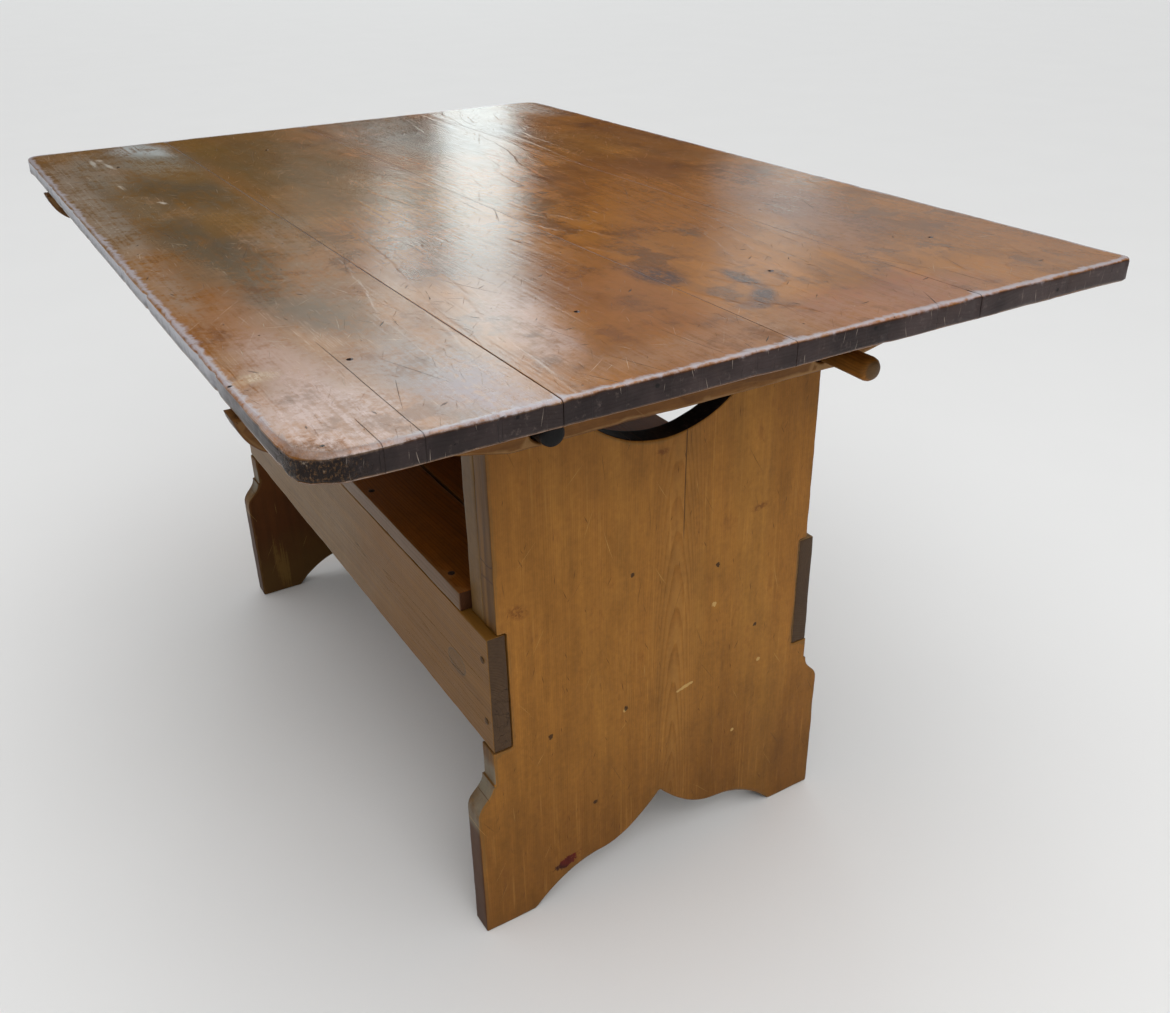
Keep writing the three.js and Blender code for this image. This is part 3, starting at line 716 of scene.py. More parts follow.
def stand_in(node, mesh, seed, pith):
    """Puts a mesh in a CAD node's place, and gives it its own shift and pith for the grain."""
    count = len(mesh.vertices)
    lay(mesh, "shift", "FLOAT", "POINT", "value", np.full(count, seed * 0.377 % 5, np.float32))
    lay(mesh, "pith", "FLOAT_VECTOR", "POINT", "vector", np.tile(np.float32(pith), count))
    piece = linked(node + "_worn", mesh)
    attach(piece, body_of[node])
    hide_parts(node)


LATHE_SIDES = 40
PIN_PITH = (0.17, -0.655, 0.01)


def lathe(node, way, profile, material, lean=0.0002, seed=1):
    """A turned or whittled pin along X, on a CAD pin's axis. The profile is measured from its inner end."""
    low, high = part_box(node)
    cy, cz = (low[1] + high[1]) / 2, (low[2] + high[2]) / 2
    start = low[0] if way > 0 else high[0]
    verts, n = [], LATHE_SIDES
    for a, r in np.array(profile) / 1000:
        for t in (2 * math.pi * i / n for i in range(n)):
            verts.append((start + way * a, cy + r * math.cos(t), cz + r * math.sin(t)))
    p = np.array(verts)
    off = lean * (value_noise(p * (0.3, 1, 1), 90, seed) - 0.2) * 2
    radial = p - (0, cy, cz)
    radial[:, 0] = 0
    size = np.maximum(np.linalg.norm(radial, axis=1), 1e-6)
    p -= radial / size[:, None] * np.minimum(off, size * 0.5)[:, None]
    faces = []
    for a in range(0, len(p) - n, n):
        faces += [(a + i, a + (i + 1) % n, a + n + (i + 1) % n, a + n + i) for i in range(n)]
    faces += [tuple(range(n))[::-1], tuple(range(len(p) - n, len(p)))]
    mesh = built(node, p, faces if way > 0 else [f[::-1] for f in faces], turn_outward)
    mesh.materials.append(material)
    stand_in(node, mesh, seed, PIN_PITH)


# The top: dark, waxed and stained
TOP_STAINS = [  # tone, strength, place, size and turn
    (98, 76, 36, 0.65, -0.42, -0.13, 0.24, 0.09, 0),
    (96, 78, 42, 0.50, -0.30, -0.27, 0.30, 0.09, 0),
    (78, 66, 44, 0.60, -0.25, -0.30, 0.11, 0.05, 10),
    (64, 58, 44, 0.75, 0.03, -0.345, 0.12, 0.042, 4),
    (72, 64, 46, 0.65, 0.17, -0.335, 0.12, 0.035, -8),
    (80, 68, 50, 0.60, 0.35, -0.325, 0.10, 0.035, 8),
    (98, 60, 26, 0.50, -0.16, 0.39, 0.20, 0.05, 0),
    (92, 48, 18, 0.55, -0.02, 0.30, 0.10, 0.05, -10),
    (146, 88, 26, 0.60, 0.14, 0.19, 0.20, 0.08, -14),
    (150, 92, 34, 0.60, 0.52, 0.415, 0.16, 0.04, 0),
    (136, 94, 40, 0.45, -0.22, 0.30, 0.14, 0.06, 0),
    (150, 92, 44, 0.60, 0.50, -0.06, 0.20, 0.06, 0),
    (144, 92, 48, 0.50, 0.25, -0.40, 0.34, 0.03, 0),
    (150, 84, 66, 0.50, 0.60, 0.16, 0.05, 0.12, 0),
    (140, 82, 70, 0.55, 0.585, -0.30, 0.040, 0.022, 20),
    (58, 46, 52, 0.86, 0.424, 0.005, 0.034, 0.020, 5),
    (58, 50, 58, 0.84, 0.472, 0.068, 0.034, 0.010, -6),
    (60, 50, 58, 0.84, 0.528, 0.050, 0.028, 0.012, -40),
    (86, 66, 68, 0.55, 0.545, 0.022, 0.012, 0.016, 0),
    (76, 62, 52, 0.60, 0.30, 0.128, 0.022, 0.008, 0),
    (96, 50, 22, 0.40, -0.45, 0.22, 0.14, 0.08, 0),
    (88, 46, 20, 0.45, 0.25, -0.12, 0.20, 0.06, 0),
    (70, 74, 64, 0.55, -0.54, 0.12, 0.17, 0.06, 0),
    (92, 76, 56, 0.50, -0.35, 0.06, 0.15, 0.05, 0),
    (142, 100, 26, 0.60, -0.40, -0.29, 0.09, 0.03, 10),
    (138, 96, 30, 0.60, -0.04, -0.30, 0.07, 0.03, -5),
    (128, 92, 24, 0.60, -0.57, -0.20, 0.10, 0.03, 0),
    (140, 92, 28, 0.50, -0.24, -0.23, 0.16, 0.02, 0),
    (152, 92, 14, 0.50, 0.17, 0.17, 0.10, 0.04, -10),
    (104, 92, 70, 0.55, -0.14, -0.385, 0.34, 0.035, 0),
    (116, 104, 90, 0.50, -0.28, -0.415, 0.24, 0.025, 0),
    (104, 90, 66, 0.40, 0.20, -0.31, 0.16, 0.05, 0),
]
# Pale patches of painted sheen: the room's light reflected on the wax, painted into the colour, where the wax
# is also rougher. Tone, strength, place, size and turn
TOP_SHEEN_PATCHES = [
    (186, 196, 200, 0.75, -0.590, -0.287, 0.060, 0.034, 0),
    (200, 208, 210, 0.50, -0.548, -0.272, 0.034, 0.014, 20),
    (196, 204, 206, 0.50, -0.602, -0.300, 0.026, 0.012, -10),
    (128, 130, 122, 0.55, -0.50, -0.295, 0.13, 0.045, 0),
    (210, 204, 192, 0.75, -0.520, -0.368, 0.026, 0.0035, -4),
    (214, 208, 196, 0.75, -0.490, -0.352, 0.024, 0.0030, 6),
    (210, 200, 184, 0.70, -0.540, -0.356, 0.010, 0.0040, 10),
    (206, 196, 178, 0.65, -0.325, -0.366, 0.016, 0.0030, 4),
    (206, 198, 184, 0.60, -0.200, -0.340, 0.009, 0.0030, 20),
    (140, 134, 122, 0.45, -0.47, -0.375, 0.14, 0.030, 0),
    (118, 122, 116, 0.30, -0.47, 0.06, 0.17, 0.07, 0),
    (210, 190, 184, 0.45, 0.46, -0.175, 0.11, 0.030, -14),
    (156, 146, 138, 0.55, -0.57, 0.405, 0.08, 0.035, 0),
    (150, 136, 120, 0.58, -0.20, -0.422, 0.40, 0.020, 0),
    (150, 132, 130, 0.40, 0.25, 0.32, 0.20, 0.06, -20),
    (152, 150, 152, 0.60, 0.54, -0.295, 0.10, 0.045, 0),
    (204, 184, 178, 0.70, 0.59, -0.395, 0.09, 0.050, 0),
    (178, 172, 180, 0.60, 0.60, -0.270, 0.06, 0.030, 0),
    (186, 160, 150, 0.45, 0.45, -0.395, 0.08, 0.025, 0),
    (196, 178, 150, 0.70, 0.467, -0.422, 0.012, 0.016, 0),
    (160, 132, 112, 0.40, 0.61, 0.02, 0.04, 0.30, 0),
]
WORMHOLES = [
    (0.474, -0.443, 0.750),
    (0.642, -0.276, 0.745),
    (0.621, -0.419, 0.750),
    (0.643, -0.150, 0.742),
    (0.643, 0.085, 0.744),
    (0.643, 0.330, 0.736),
]
EATEN_CORNER = (0.645, -0.445, 0.738)
# Y, sway, width, and where along X it begins and is full
TOP_CRACKS = [(-0.351, 0.004, 0.0005, 0.40, 0.46), (-0.383, 0.003, 0.0004, 0.585, 0.60)]
RIM_IN, RIM_OUT = 0.0195, 0.0075  # where the pale rim begins and is full, in from the top's edge
UPWARD = math.pi / 2


def top_material(sides=False):
    """The top's waxed and stained wood, with painted sheen and highlights, or with sides the wood of its
    edges, without the stains and the sheen patches.
    """
    w = Wood("top_sides" if sides else "top_wood", (0, 1, 2), 0.0046, warp=(11, 13, 11))
    g, x, y, z, warp, speck, paint = w.g, w.x, w.y, w.z, w.warp, w.speck, w.paint
    w.base((154, 96, 28), (92, 50, 14), (176, 112, 34), (92, 52, 20), (50, 38, 34), 0.34, 0.30)
    paint(g.step(w.grime, 0.50, 0.63) * 0.50, (166, 104, 22))
    paint(g.step(w.grime, 0.46, 0.35) * 0.45, (80, 48, 30))
    fog = g.noise(g.place, (5, 7, 5), 4, 0.6, 2.0)
    paint(g.step(fog, 0.42, 0.7) * 0.45, (96, 52, 18))
    faded = w.fade(y, 0.3, 0.10, -0.12) * w.fade(x, 0.4, 0.30, -0.10)
    paint(faded * 0.6, g.tint((124, 92, 40), w.bands * 0.8 + 0.6))
    rough = w.streak * 0.10 + w.grime * 0.10 + 0.06

    ragged = warp * 0.55 + w.streak * 0.15 + w.grime * 0.3
    # painted sheen: a pale veil of light over the back strip of the top
    sheen_veil = w.fade(y, 0.12, -0.20, -0.27) * g.step(w.streak * 0.15 + w.grime * 0.5 + speck * 0.35, 0.42, 0.56)
    paint(sheen_veil * 0.42, (148, 126, 104))
    smear = g.step(w.streak * 0.25 + w.grime * 0.4 + speck * 0.35, 0.40, 0.56)
    for *tone, share, px, py, wide, high, turn in () if sides else TOP_STAINS:
        patch = blob(g, x, y, (px, py), (wide, high), turn, 1.1, 0.75 if wide > 0.04 else 0.5, ragged)
        paint(patch * (smear * 0.7 + 0.3) * share, tone)
    # painted sheen, on patches of rougher wax
    for *tone, share, px, py, wide, high, turn in () if sides else TOP_SHEEN_PATCHES:
        patch = blob(g, x, y, (px, py), (wide, high), turn, 1.3, 0.75, ragged if wide > 0.04 else speck)
        patch = patch * (smear * 0.85 + 0.15)
        paint(patch * share, tone)
        rough = rough + patch * (0.18 * share)

    fine = scratches(g, x, y, 0.019, 0.017, 0.00034, 0.70, 0.15, (0.0, 1.9), 0.3)
    longer = scratches(g, x, y, 0.047, 0.034, 0.00052, 0.5, 0.15, (0.3, 2.4), 5.3)
    dark = scratches(g, x, y, 0.090, 0.060, 0.00060, 0.35, 0.15, (0.0, 1.0), 11.0)
    nicks = scratches(g, x, y, 0.045, 0.008, 0.00110, 0.30, 0.3, shift=17.0)
    pits = dots(g, 0.016, 0.0011, 0.22, 3.0)
    rubbed = w.fade(y, 0.25, -0.18, -0.26) * 0.5 + w.fade(x, 0.25, 0.35, 0.60) * 0.4 + 0.25
    scuffed = g.step(w.grime * 0.5 + warp * 0.5, 0.46, 0.60) * rubbed
    rubs = g.step(w.fibre * 0.6 + w.streak * 0.4 + (scuffed - 0.5) * 0.16, 0.60, 0.72)
    paint(rubs * (rubbed * 0.9 + 0.1) * 0.55, (206, 184, 160))
    paint(fine * scuffed, (214, 196, 170))
    paint(longer * scuffed * 0.8, (222, 204, 176))
    paint(dark * 0.6, (38, 24, 14))
    paint(nicks * 0.65, (40, 26, 16))
    paint(pits * 0.8, (30, 20, 14))

    # Ends and long sides, dark with handling, and a painted highlight along the top of the back side
    up = g.facing(2)
    side = g.step(abs(up), 0.55, 0.22)
    flecks = scratches(g, x + y, z, 0.016, 0.010, 0.00045, 0.42, 0.3, (UPWARD, 0.6), 4.0)
    slits = scratches(g, x + y, z, 0.034, 0.022, 0.00040, 0.40, 0.3, (UPWARD, 0.3), 8.0)
    holes = dots(g, 0.015, 0.0016, 0.30, 6.0)
    dull = g.mix(g.step(warp + y * 0.25, 0.30, 0.72), (30, 22, 23), (66, 54, 53))
    # painted highlight: the back side pale and bluish near its top and dark lower down, where light falls on
    # its upper arris
    height = g.step(z + (speck - 0.5) * 0.02, TABLE - 0.022, TABLE - 0.004)
    back = g.mix(height, (62, 62, 66), (184, 186, 194))
    dull = g.mix(g.step(g.facing(1), -0.5, -0.8) * w.fade(x, 0.3, 0.56, 0.40), dull, back)
    dull = g.mix(g.step(speck, 0.56, 0.74) * 0.3, dull, (120, 104, 98))
    dull = g.mix(flecks * 0.6, dull, (176, 160, 146))
    dull = g.mix(slits * 0.8, dull, (22, 17, 17))
    paint(side * 0.96, g.mix(holes * 0.95, dull, (10, 8, 8)))

    near = g.far(EATEN_CORNER)
    eaten = g.step(near + (speck - 0.5) * 0.05, 0.052, 0.026)
    crumb = g.noise(g.place, (420, 420, 300), 4, 0.7, 2.0)
    rot = g.mix(g.step(crumb, 0.50, 0.64), (32, 22, 18), (104, 76, 48))
    rot = g.mix(g.step(crumb * 0.5 + speck * 0.5, 0.60, 0.66), rot, (146, 132, 118))
    paint(eaten * (side * 0.52 + 0.42), rot)
    crack = sum(g.step(abs(y - at + (w.patch - 0.5) * sway), width, 0.0001) * g.step(x, first, full)
                for at, sway, width, first, full in TOP_CRACKS)
    paint(crack * 0.7, (40, 26, 20))
    rim = [g.step(abs(v), half - RIM_IN, half - RIM_OUT) for v, half in ((x, HALF_LONG), (y, HALF_WIDE))]
    # the pale arris round the rim: wear, with a painted highlight of the light on the rounded edge, browner
    # by the eaten corner
    worn = g.step(w.edge + (warp - 0.5) * 0.6 + (speck - 0.5) * 0.9, 0.56, 1.0) * g.step(up, -0.1, 0.35)
    worn = worn * g.math("MAXIMUM", *rim)
    paint(worn * 0.8, g.mix(g.step(near, 0.12, 0.03), (176, 172, 178), (120, 96, 82)))
    for place in WORMHOLES:
        paint(g.step(g.far(place) + (speck - 0.5) * 0.002, 0.0024, 0.0014) * 0.95, (14, 10, 9))

    under = g.step(up, -0.5, -0.8)
    dry = g.mix(g.step(w.patch, 0.4, 0.7), (112, 78, 44), (84, 54, 30))
    paint(under * 0.94, g.tint(dry, (w.bands * 0.8 + 0.6) * (w.streak * 0.5 + 0.75)))
    rough = g.math("MAXIMUM", rough + side * 0.25 + worn * 0.04, under * 0.62)
    cut = dark * 0.0005 + nicks * 0.0008 + pits * 0.0008 + fine * 0.0002 + crack * 0.001
    height = w.relief(1.0) - cut + fog * 0.0005 + speck * rubbed * 0.0001
    height = height - side * (flecks * 0.0002 + slits * 0.0006 + holes * 0.0015)
    height = height - eaten * (side + 0.2) * crumb * 0.003
    return g.finish(w.colour, rough, height, 0.2 if sides else 0.5)


# Plain pine: ends, aprons, battens and insides
END_STAINS = [  # place, size, turn, softness and raggedness
    ((-0.190, 0.434), (0.012, 0.008), -30, 0.8, 0.8),
    ((-0.010, 0.572), (0.008, 0.004), 0, 0.8, 0.8),
    ((0.128, 0.466), (0.012, 0.004), 10, 0.6, 0.9),
]
END_CHIPS = [  # place and size
    ((0.028, 0.249), (0.011, 0.0022)),
    ((0.068, 0.353), (0.0034, 0.0034)),
    ((0.140, 0.247), (0.0030, 0.0030)),
    ((-0.058, 0.250), (0.0022, 0.0022)),
    ((0.105, 0.150), (0.0022, 0.0022)),
]
END_HOLES = [(-0.157, 0.255), (-0.056, 0.252), (-0.048, 0.432), (0.070, 0.406), (0.131, 0.302), (-0.10, 0.13)]
HOLE_SIZE = (0.0026, 0.0030)
SCOOP_DARK_LOW, SCOOP_DARK_HALF = 0.575, 0.150  # the lowest height of the scoop's near-black, partly a dark band and partly painted shade, and its reach to each side
PALE_LOW, PALE_HIGH = 0.150, 0.250  # the heights of the ogee's pale edge, wear with a painted highlight


def end_material():
    w = Wood("end_pine", (2, 1, 0), 0.0024, wave=0.35)
    g, x, y, z, warp, speck, paint = w.g, w.x, w.y, w.z, w.warp, w.speck, w.paint
    w.base((152, 101, 40), (120, 75, 26), (166, 116, 50), (116, 75, 30), (96, 70, 40), 0.34, 0.28)
    paint((1.0 - w.late) * g.step(abs(y - 0.012), 0.055, 0.0) * w.strong * 0.4, (172, 126, 66))
    paint(w.fade(z, 0.2, 0.42, 0.7) * 0.24, (122, 80, 34))
    w.shade(w.fade(z, 0.12, -0.05, 0.36) * 0.26 + 0.74)
    paint(w.fade(z, 0.12, 0.24, 0.06) * 0.35, (104, 62, 18))
    mottle = g.noise(g.place, (34, 34, 15), 5, 0.70, 3.3)
    w.shade(mottle * 0.8 + 0.6)
    paint(g.step(mottle, 0.56, 0.70) * 0.4, (104, 62, 24))

    # The inner face, the sides, the ogees and the scoop
    outward = g.facing(0) * g.math("SIGN", x)
    out, inner = g.step(outward, 0.4, 0.8), g.step(outward, -0.4, -0.8)
    stripes = g.step(g.noise(g.place, (1, 9, 0.6), 2, 0.5), 0.45, 0.65)
    paint(inner * 0.85, g.tint(g.mix(stripes, (84, 42, 14), (118, 76, 30)), w.bands * 0.8 + 0.6))
    side = g.step(abs(g.facing(1)), 0.5, 0.8)
    paint(side * 0.75, g.mix(g.step(w.bands * 0.6 + w.streak * 0.4, 0.35, 0.65), (30, 20, 10), (116, 84, 40)))
    paint(side * g.step(z, PALE_LOW + 0.020, PALE_LOW) * 0.7, g.tint((64, 32, 20), speck + 0.5))
    # the ogee's pale grey edge: wear, with a painted highlight
    ogee_wear_and_highlight = side * g.step(z, PALE_LOW, PALE_LOW + 0.015) * g.step(z, PALE_HIGH, PALE_HIGH - 0.015)
    paint(ogee_wear_and_highlight * g.step(warp, 0.40, 0.60) * 0.7, (128, 122, 106))
    # the scoop's inside near-black: partly a dark band on the wood, partly painted shade, less dark towards
    # its top
    scoop = g.step(z, SCOOP_DARK_LOW, SCOOP_DARK_LOW + 0.015) * g.step(abs(y), SCOOP_DARK_HALF, SCOOP_DARK_HALF - 0.005)
    scoop = scoop * g.step(abs(g.facing(0)), 0.8, 0.5)
    scoop_dark_and_shade = g.mix(g.step(speck, 0.5, 0.7), (14, 10, 9), (42, 32, 28))
    paint(scoop * (g.step(z, 0.690, 0.640) * 0.4 + 0.6), scoop_dark_and_shade)
    paint(inner * w.fade(z, 0.16, 0.15, 0.03) * 0.5, (112, 86, 38))
    w.shade(1.0 - inner * w.fade(z, 0.2, 0.34, 0.08) * 0.34)

    rubbed = blob(g, y, z, (-0.212, 0.045), (0.009, 0.040), 4, 0.8, 1.1, w.streak * 0.7 + speck * 0.3)
    paint(rubbed * inner * g.step(x, 0.0, -0.1) * 0.3, (150, 118, 58))
    smudge = blob(g, y, z, (-0.142, 0.054), (0.016, 0.007), 22, 0.4, 0.7, speck) * out
    paint(smudge * 0.95, g.mix(g.step(w.grime, 0.4, 0.6), (40, 6, 8), (96, 18, 14)))
    stains = sum(blob(g, y, z, *stain, speck) for stain in END_STAINS)
    paint(stains * out * g.step(speck, 0.38, 0.56) * 0.6, (84, 36, 16))
    for place, size in END_CHIPS:
        paint(blob(g, y, z, place, size, 14, 0.3, 0.6, speck) * out * 0.75, (200, 164, 100))
    for place in END_HOLES:
        paint(blob(g, y, z, place, HOLE_SIZE, 0, 0.4, 0.7, speck) * out * 0.85, (40, 26, 16))
    crack = g.step(abs(y - 0.020 + (w.patch - 0.5) * 0.006), 0.0008, 0.0) * g.step(z, 0.45, 0.47) * out
    paint(crack * 0.8, (48, 28, 12))
    marks = scratches(g, y, z, 0.060, 0.026, 0.00045, 0.45, 0.2, (UPWARD, 1.2), 2.0)
    light = scratches(g, y, z, 0.060, 0.026, 0.00036, 0.30, 0.2, (UPWARD, 1.6), 9.0)
    short = scratches(g, y, z, 0.026, 0.008, 0.00070, 0.42, 0.2, (UPWARD, 1.0), 14.0)
    pits = dots(g, 0.026, 0.0015, 0.36, 3.0)
    paint(marks * 0.65, (66, 38, 16))
    paint(short * 0.7, (74, 42, 16))
    paint(light * 0.55, (204, 164, 96))
    paint(pits * 0.7, (60, 36, 16))
    paint(g.step(w.streak * 0.7 + mottle * 0.3, 0.57, 0.70) * out * 0.40, (178, 130, 64))
    paint(w.fade(w.edge, 0.8, 0.8, 1.05) * 0.5, (112, 84, 46))
    rough = w.streak * 0.12 + w.grime * 0.16 + scoop * 0.3 + 0.34
    return g.finish(w.colour, rough, w.relief(0.8) - (crack * 0.0008 + marks * 0.0002 + pits * 0.0004), 0.14)


# The tones of each kind of plain wood: early, late, light, dark, end grain and worn
PINE = (122, 80, 36), (84, 50, 20), (162, 118, 66), (108, 74, 38), (84, 58, 34), (170, 132, 84)
OLD = (144, 115, 80), (98, 74, 50), (56, 40, 30), (158, 132, 100)
UPRIGHT = (116, 86, 46), (86, 60, 30), *OLD
APRON = (134, 104, 66), (104, 77, 45), *OLD
SEAT = (134, 78, 22), (84, 40, 8), (166, 100, 32), (58, 26, 8), (56, 36, 28), (150, 104, 58)
INSIDE = (120, 84, 50), (86, 56, 30), (134, 98, 62), (74, 52, 32), (70, 50, 32), (142, 110, 72)
# near-black for the pivot pins: their own dark colour, made darker still with painted shade from under the
# top
BLACK = (20, 17, 17), (12, 10, 10), (34, 29, 28), (9, 8, 8), (15, 13, 13), (48, 42, 40)
PALE = (132, 86, 32), (90, 54, 20), (144, 96, 42), (84, 50, 20), (92, 72, 48), (150, 114, 66)


def plain_material(name, tones, axes, flat, rough=0.4, ring=0.0036, knot=None, specular=0.14, cracks=0.0,
                   wave=1.0, warm=None, back_tone=None, shaded_nose=False, shadow_near_board=False):
    """Wood of those tones, with its marks laid on the two axes flat."""
    w = Wood(name, axes, ring, wave, knot, (14, 14, 14), 6.0)
    g, paint = w.g, w.paint
    *own, worn_tone = tones
    late, dark = own[1], own[3]
    w.base(*own)
    paint(g.step(w.warp, 0.55, 0.75) * 0.3, dark)
    a, b = (w.x, w.y, w.z)[flat[0]], (w.x, w.y, w.z)[flat[1]]
    marks = scratches(g, a, b, 0.07, 0.04, 0.0005, 0.45, 0.4, shift=3.0)
    light_marks = scratches(g, a, b, 0.05, 0.03, 0.0004, 0.35, 0.4, shift=10.0)
    pits = dots(g, 0.026, 0.0011, 0.2, 5.0)
    paint(marks * 0.55, g.tint(late, 0.35))
    paint(light_marks * 0.35, worn_tone)
    paint(pits * 0.75, g.tint(late, 0.25))
    height = w.relief(1.0) - (marks * 0.0003 + pits * 0.0005)
    if cracks:
        line = g.noise(w.q, (1.6, 55, 55), 2, 0.5, 12.0)
        split = g.step(abs(line - 0.5), 0.006, 0.0) * g.step(w.broad, 0.5, 0.62)
        paint(split * cracks, (30, 22, 16))
        height = height - split * 0.0008
    paint(w.fade(w.edge, 0.8, 0.78, 1.05) * 0.55, worn_tone)
    # painted shade: the batten darker towards its ends
    if shaded_nose:
        w.shade(g.step(abs(w.y), 0.425, 0.34) * 0.36 + 0.64)
    # painted shadow: the peg darker along its part near the board, under the top
    if shadow_near_board:
        w.shade(g.step(abs(w.x), 0.500, 0.545) * 0.45 + 0.55)
    grained = (w.streak * 0.5 + 0.75) * (w.bands * 0.6 + 0.7)
    if back_tone:
        away = g.math("MAXIMUM", g.step(g.facing(1), -0.5, -0.8), g.step(g.facing(2), -0.5, -0.8))
        paint(away * 0.9, g.tint(back_tone, grained))
    if warm:
        clear = 1.0 - g.math("MAXIMUM", w.end, g.math("MINIMUM", w.knot[0] * 0.4 + w.knot[1], 1.0))
        paint(w.fade(w.x, 0.3, -0.06, 0.22) * clear * 0.9, g.tint(warm, grained))
    return g.finish(w.colour, w.streak * 0.12 + w.grime * 0.16 + (rough - 0.12), height, specular)


def iron_material(name, clean, rusty, metal, specular):
    g = Graph(name)
    n = g.noise(g.place, (600, 600, 600), 4, 0.6)
    colour = g.mix(g.step(g.noise(g.place, (120, 120, 120), 3, 0.6), 0.4, 0.65), clean, rusty)
    return g.finish(g.tint(colour, n * 0.7 + 0.65), n * 0.3 + 0.4, n * 0.0001, specular, metal)


# How the edges of the top's boards are worn
SEAM_NEAR = 0.0015  # a point nearer a seam is on it
RIM_LONG, RIM_WIDE = HALF_LONG - 0.0185, HALF_WIDE - 0.0165  # the rim's nicks lie beyond these


def at_seam(p, seams=SEAMS):
    return np.min([np.abs(p[:, 1] - seam) for seam in seams], axis=0) < SEAM_NEAR


def about(p, x, y, spread):
    """1 at a place in the top's plane, and less all round it."""
    return np.exp(-(((p[:, 0] - x) / spread) ** 2 + ((p[:, 1] - y) / spread) ** 2))


def top_radius(p, side, r):
    """Arrises worn soft round the rim, nearly sharp at the seams and heaviest at the near corner."""
    rim = (np.abs(np.abs(p[:, 0]) - HALF_LONG) < 0.05) | (np.abs(np.abs(p[:, 1]) - HALF_WIDE) < 0.05)
    soft_back = np.clip((RIM_LONG - np.abs(p[:, 0])) / 0.05, 0, 1) * (p[:, 1] < -RIM_WIDE) * (side == 0)
    soft = 0.0012 * (1.2 + 3.4 * value_noise(p, 22, 31 + side) ** 2) + 0.0012 + 0.0065 * soft_back
    r = np.where(rim & ~at_seam(p), soft, seam_gap(p))
    r = np.where(at_seam(p), np.maximum(soft * seam_end(p), r), r)
    return r + about(p, 0.62, -0.43, 0.05) * 0.003 * (1 if side else 0.6)


def seam_gap(p):
    wide = 0.0002 + 0.0007 * np.clip((p[:, 0] + 0.2) / 0.4, 0, 1) * value_noise(p, 14, 6)
    return np.where(at_seam(p, SEAMS[:1]), wide, 0.00008)


def seam_end(p):
    """1 where a seam meets the top's end and 0 from 12 mm in."""
    return np.clip(1 - (HALF_LONG - np.abs(p[:, 0])) / 0.012, 0, 1)


def top_aim(p, out):
    """Which way an edge is worn back: square to it, but lengthways where a seam meets an end."""
    gap, end = seam_gap(p), seam_end(p)
    total = np.maximum(0.0028 * end, gap)
    way = np.stack([np.sign(p[:, 0]) * end, np.sign(out[:, 1]) * np.minimum(1, gap / total)], 1)
    return np.where(at_seam(p)[:, None], way, out)


def top_tight(p):
    return np.where(at_seam(p), np.where(at_seam(p, SEAMS[:1]), 0.30, 0.04), 1.0)


def top_dent(p):
    """Nicks, wear and the eaten corner, as depth off the edge."""
    rim = (np.abs(p[:, 0]) > RIM_LONG) | (np.abs(p[:, 1]) > RIM_WIDE)
    n = value_noise(p * (1, 1, 0.4), 60, 77)
    depth = np.where(rim, np.clip(n - 0.62, 0, 1) * 0.010, 0)
    depth += np.where(p[:, 0] > 0.6, 0.0008 * np.exp(-(((p[:, 1] + 0.229) / 0.003) ** 2)), 0)
    eaten = 0.0035 * value_noise(p, 160, 5, 2) + 0.004 * value_noise(p, 75, 8, 2)
    return depth + about(p, 0.63, -0.435, 0.03) * eaten


# Along each pin from its inner end, and its radius, in millimetres
PIN = [(0, 11), (0.5, 12.6), (2, 13.4), (40, 13.5), (90, 13.4), (99, 13.1), (101.5, 12.6), (103, 11.4),
       (103.8, 9), (104, 5), (104, 1)]
PEG = [(0, 10), (0.5, 11.4), (2, 12.2), (30, 12.7), (60, 13), (85, 13.3), (94, 13.4), (98, 12.6), (101, 10.6),
       (102.9, 7.8), (103.7, 4.5), (104, 1)]
COUNTERBORE = 0.007, 0.61, 0.696  # radius, bottom and top
CROSS_PIECES = [("seat_bearer", 0.001, 70), ("floor_bearer", 0.001, 72), ("lid_cleat", 0.0012, 74)]
TOP_PITHS = [(-0.36, 0.05, 0.02), (-0.10, 0.07, -0.02), (0.09, 0.04, 0.025), (0.36, 0.06, -0.03)]


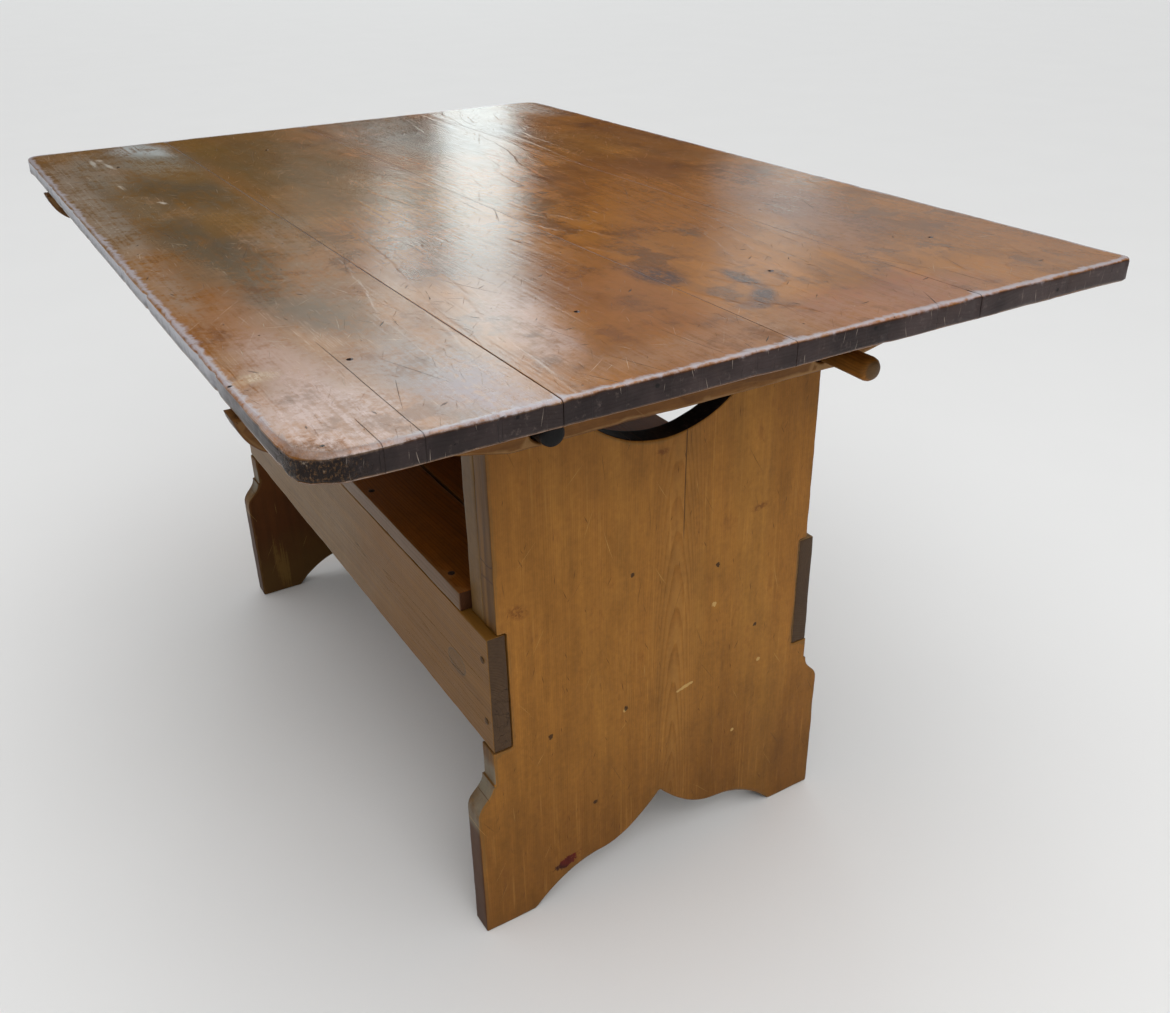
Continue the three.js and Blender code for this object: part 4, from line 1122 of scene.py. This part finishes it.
# The pieces
def dress():
    top, end = (top_material(), top_material(True)), end_material()
    iron = iron_material("old_iron", (44, 38, 36), (78, 52, 38), 0.6, 0.5)
    stopped = iron_material("stopped_nail", (104, 82, 58), (84, 62, 42), 0.0, 0.14)  # sunk and filled heads
    batten = plain_material("batten_pine", PINE, (1, 0, 2), (1, 2), shaded_nose=True)
    upright = plain_material("upright_pine", UPRIGHT, (2, 1, 0), (1, 2))
    back = plain_material("apron_back", APRON, (0, 2, 1), (0, 2), knot=(0.370, 0.335, 0.013), cracks=0.85,
                          warm=(126, 85, 30))
    front = plain_material("apron_front", APRON, (0, 2, 1), (0, 2), knot=(-0.2, 0.40, 0.008), cracks=0.7)
    seat = plain_material("seat_wood", SEAT, (0, 1, 2), (0, 1), 0.32, specular=0.16, back_tone=(104, 76, 46))
    inner_x = plain_material("inner_pine_x", INSIDE, (0, 1, 2), (0, 1), 0.55, specular=0.2)
    inner_y = plain_material("inner_pine_y", INSIDE, (1, 0, 2), (1, 2), 0.55, specular=0.2)
    dark_pin = plain_material("dark_pin", BLACK, (0, 1, 2), (0, 1), ring=0.0022, wave=0.3)
    peg_wood = plain_material("peg_wood", PALE, (0, 1, 2), (0, 1), ring=0.0022, wave=0.3, shadow_near_board=True)

    for i, pith in enumerate(TOP_PITHS):
        worn_board(f"top_board_{i + 1}", 2, top, 0.0045, rough=0.0004, seed=20 + i, pith=pith, trim=0.0002,
                   radius=top_radius, dent=top_dent, tight=top_tight, aim=top_aim)
    for side, way in (("left", -1), ("right", 1)):
        worn_board(f"{side}_end_board", 0, end, wear=0.0016, rough=0.0005, seed=40 + way, trim=0.003,
                   pith=(0.012, -0.445 * way, 0.05))
        screws = [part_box(f"{side}_batten_screw_{i}") for i in (1, 2, 3, 4)]
        bores = [((a[0] + b[0]) / 2, (a[1] + b[1]) / 2, *COUNTERBORE) for a, b in screws]
        worn_board(f"{side}_batten", 0, batten, wear=0.0022, rough=0.0005, seed=50 + way, trim=0.003,
                   pith=(0.2, -0.66, 0.03), bores=bores)
        for name in ("back", "front"):
            worn_board(f"{side}_{name}_upright", 0, upright, 0.005, 0.0014, 0.0004, 60 + way, grid=0.016,
                       pith=(0.3, -0.36 * way, 0.03))
        for name, wear, seed in CROSS_PIECES:
            worn_board(f"{side}_{name}", 2, inner_y, 0.006, wear, seed=seed + way, grid=0.02)
        lathe(f"{side}_pivot_pin", way, PIN, dark_pin, seed=80)
        lathe(f"{side}_lock_peg", way, PEG, peg_wood, seed=84, lean=0.0004)
    worn_board("back_apron", 1, back, 0.006, 0.0016, 0.0006, 90, grid=0.016, pith=(0.30, 0.245, 0.02))
    worn_board("front_apron", 1, front, 0.006, 0.0016, 0.0006, 91, grid=0.016, pith=(0.36, -0.24, -0.02))
    for i, name in enumerate(("fixed_seat_board", "lid_back_board", "lid_front_board")):
        worn_board(name, 2, seat, 0.006, 0.0009, seed=95 + i, grid=0.016, pith=(0.1 * i - 0.1, -0.38, 0.03))
    for i, name in enumerate(("box_floor_back", "box_floor_front")):
        worn_board(name, 2, inner_x, 0.008, seed=98 + i, grid=0.025)
    for name, node in nodes.items():
        if slot_of.get(name) == "iron":
            for slot in node.material_slots:
                slot.material = stopped if "apron_nail" in name else iron
            node.modifiers.new("joined", "WELD").merge_threshold = 0.00001
            bevel = node.modifiers.new("soft edges", "BEVEL")
            bevel.width, bevel.segments = 0.0003, 2
            bevel.limit_method, bevel.angle_limit = "ANGLE", math.radians(40)


# The studio
FAR = 45  # from the top to the far lamps
COOL = (0.83, 0.98, 1)
WINDOWS = [  # azimuth, elevation, width and height in degrees as the top sees them, and radiance
    ("window", 154.2, 14, 3.7, 20, 2.3),
    ("window_haze", 159.0, 16, 10, 8, 0.38),
    ("window_edge", 158.6, 15.8, 1.8, 5.5, 2.6),
    ("upper_haze", 159, 27, 17, 13, 1.8),
    ("side_haze", 131.5, 15, 20, 10, 0.55),
    ("near_haze", 143.5, 18, 8, 6, 0.38),
    ("side_edge", 138.2, 12.4, 2.8, 4, 1.1),
]
SKY = [(0.0, 0.20), (0.04, 0.07), (0.10, 0.014), (0.50, 0.018), (0.80, 0.80), (1.0, 1.0)]  # height and grey
SKY_STRENGTH = 1.75
FLOOR_HALF, FLOOR_Z = 60, -0.0002


def studio():
    world = scene.world = bpy.data.worlds.new("studio")
    world.use_nodes = True
    g = Graph("sky", world.node_tree)
    g.tree.nodes.clear()
    up = g.split(Num(g, g.node("TexCoord").outputs["Generated"]))[2]
    ramp = g.node("ValToRGB", up)
    while len(ramp.color_ramp.elements) < len(SKY):
        ramp.color_ramp.elements.new(0.5)
    for element, (at, grey) in zip(ramp.color_ramp.elements, SKY):
        element.position = at
        element.color = (grey, grey, grey * 1.01, 1)
    g.node("OutputWorld", g.out("Background", Num(g, ramp.outputs[0]), SKY_STRENGTH))
    mesh = bpy.data.meshes.new("floor")
    s = FLOOR_HALF
    mesh.from_pydata([(-s, -s, 0), (s, -s, 0), (s, s, 0), (-s, s, 0)], [], [(0, 1, 2, 3)])
    floor = linked("floor", mesh)
    floor.location.z = FLOOR_Z
    g = Graph("floor")
    n = g.noise(g.place, (3, 3, 3), 3, 0.5)
    pale = g.vector("SCALE", (0.80, 0.80, 0.79), scale=n * 0.03 + 0.985)
    mesh.materials.append(g.finish(pale, 0.8, specular=0.2))
    area_light("key", towards(-14, 32, 3.4), (0.2, 0, 0.45), 2.4, 1.8, 2.7)
    for name, azimuth, elevation, wide, high, strength in WINDOWS:
        size = (2 * FAR * math.tan(math.radians(angle / 2)) for angle in (wide, high))
        area_light(name, towards(azimuth, elevation, FAR), (0, 0, TABLE), *size, strength, COOL)


place_camera()
studio()
dress()
scene.view_settings.view_transform = "Standard"
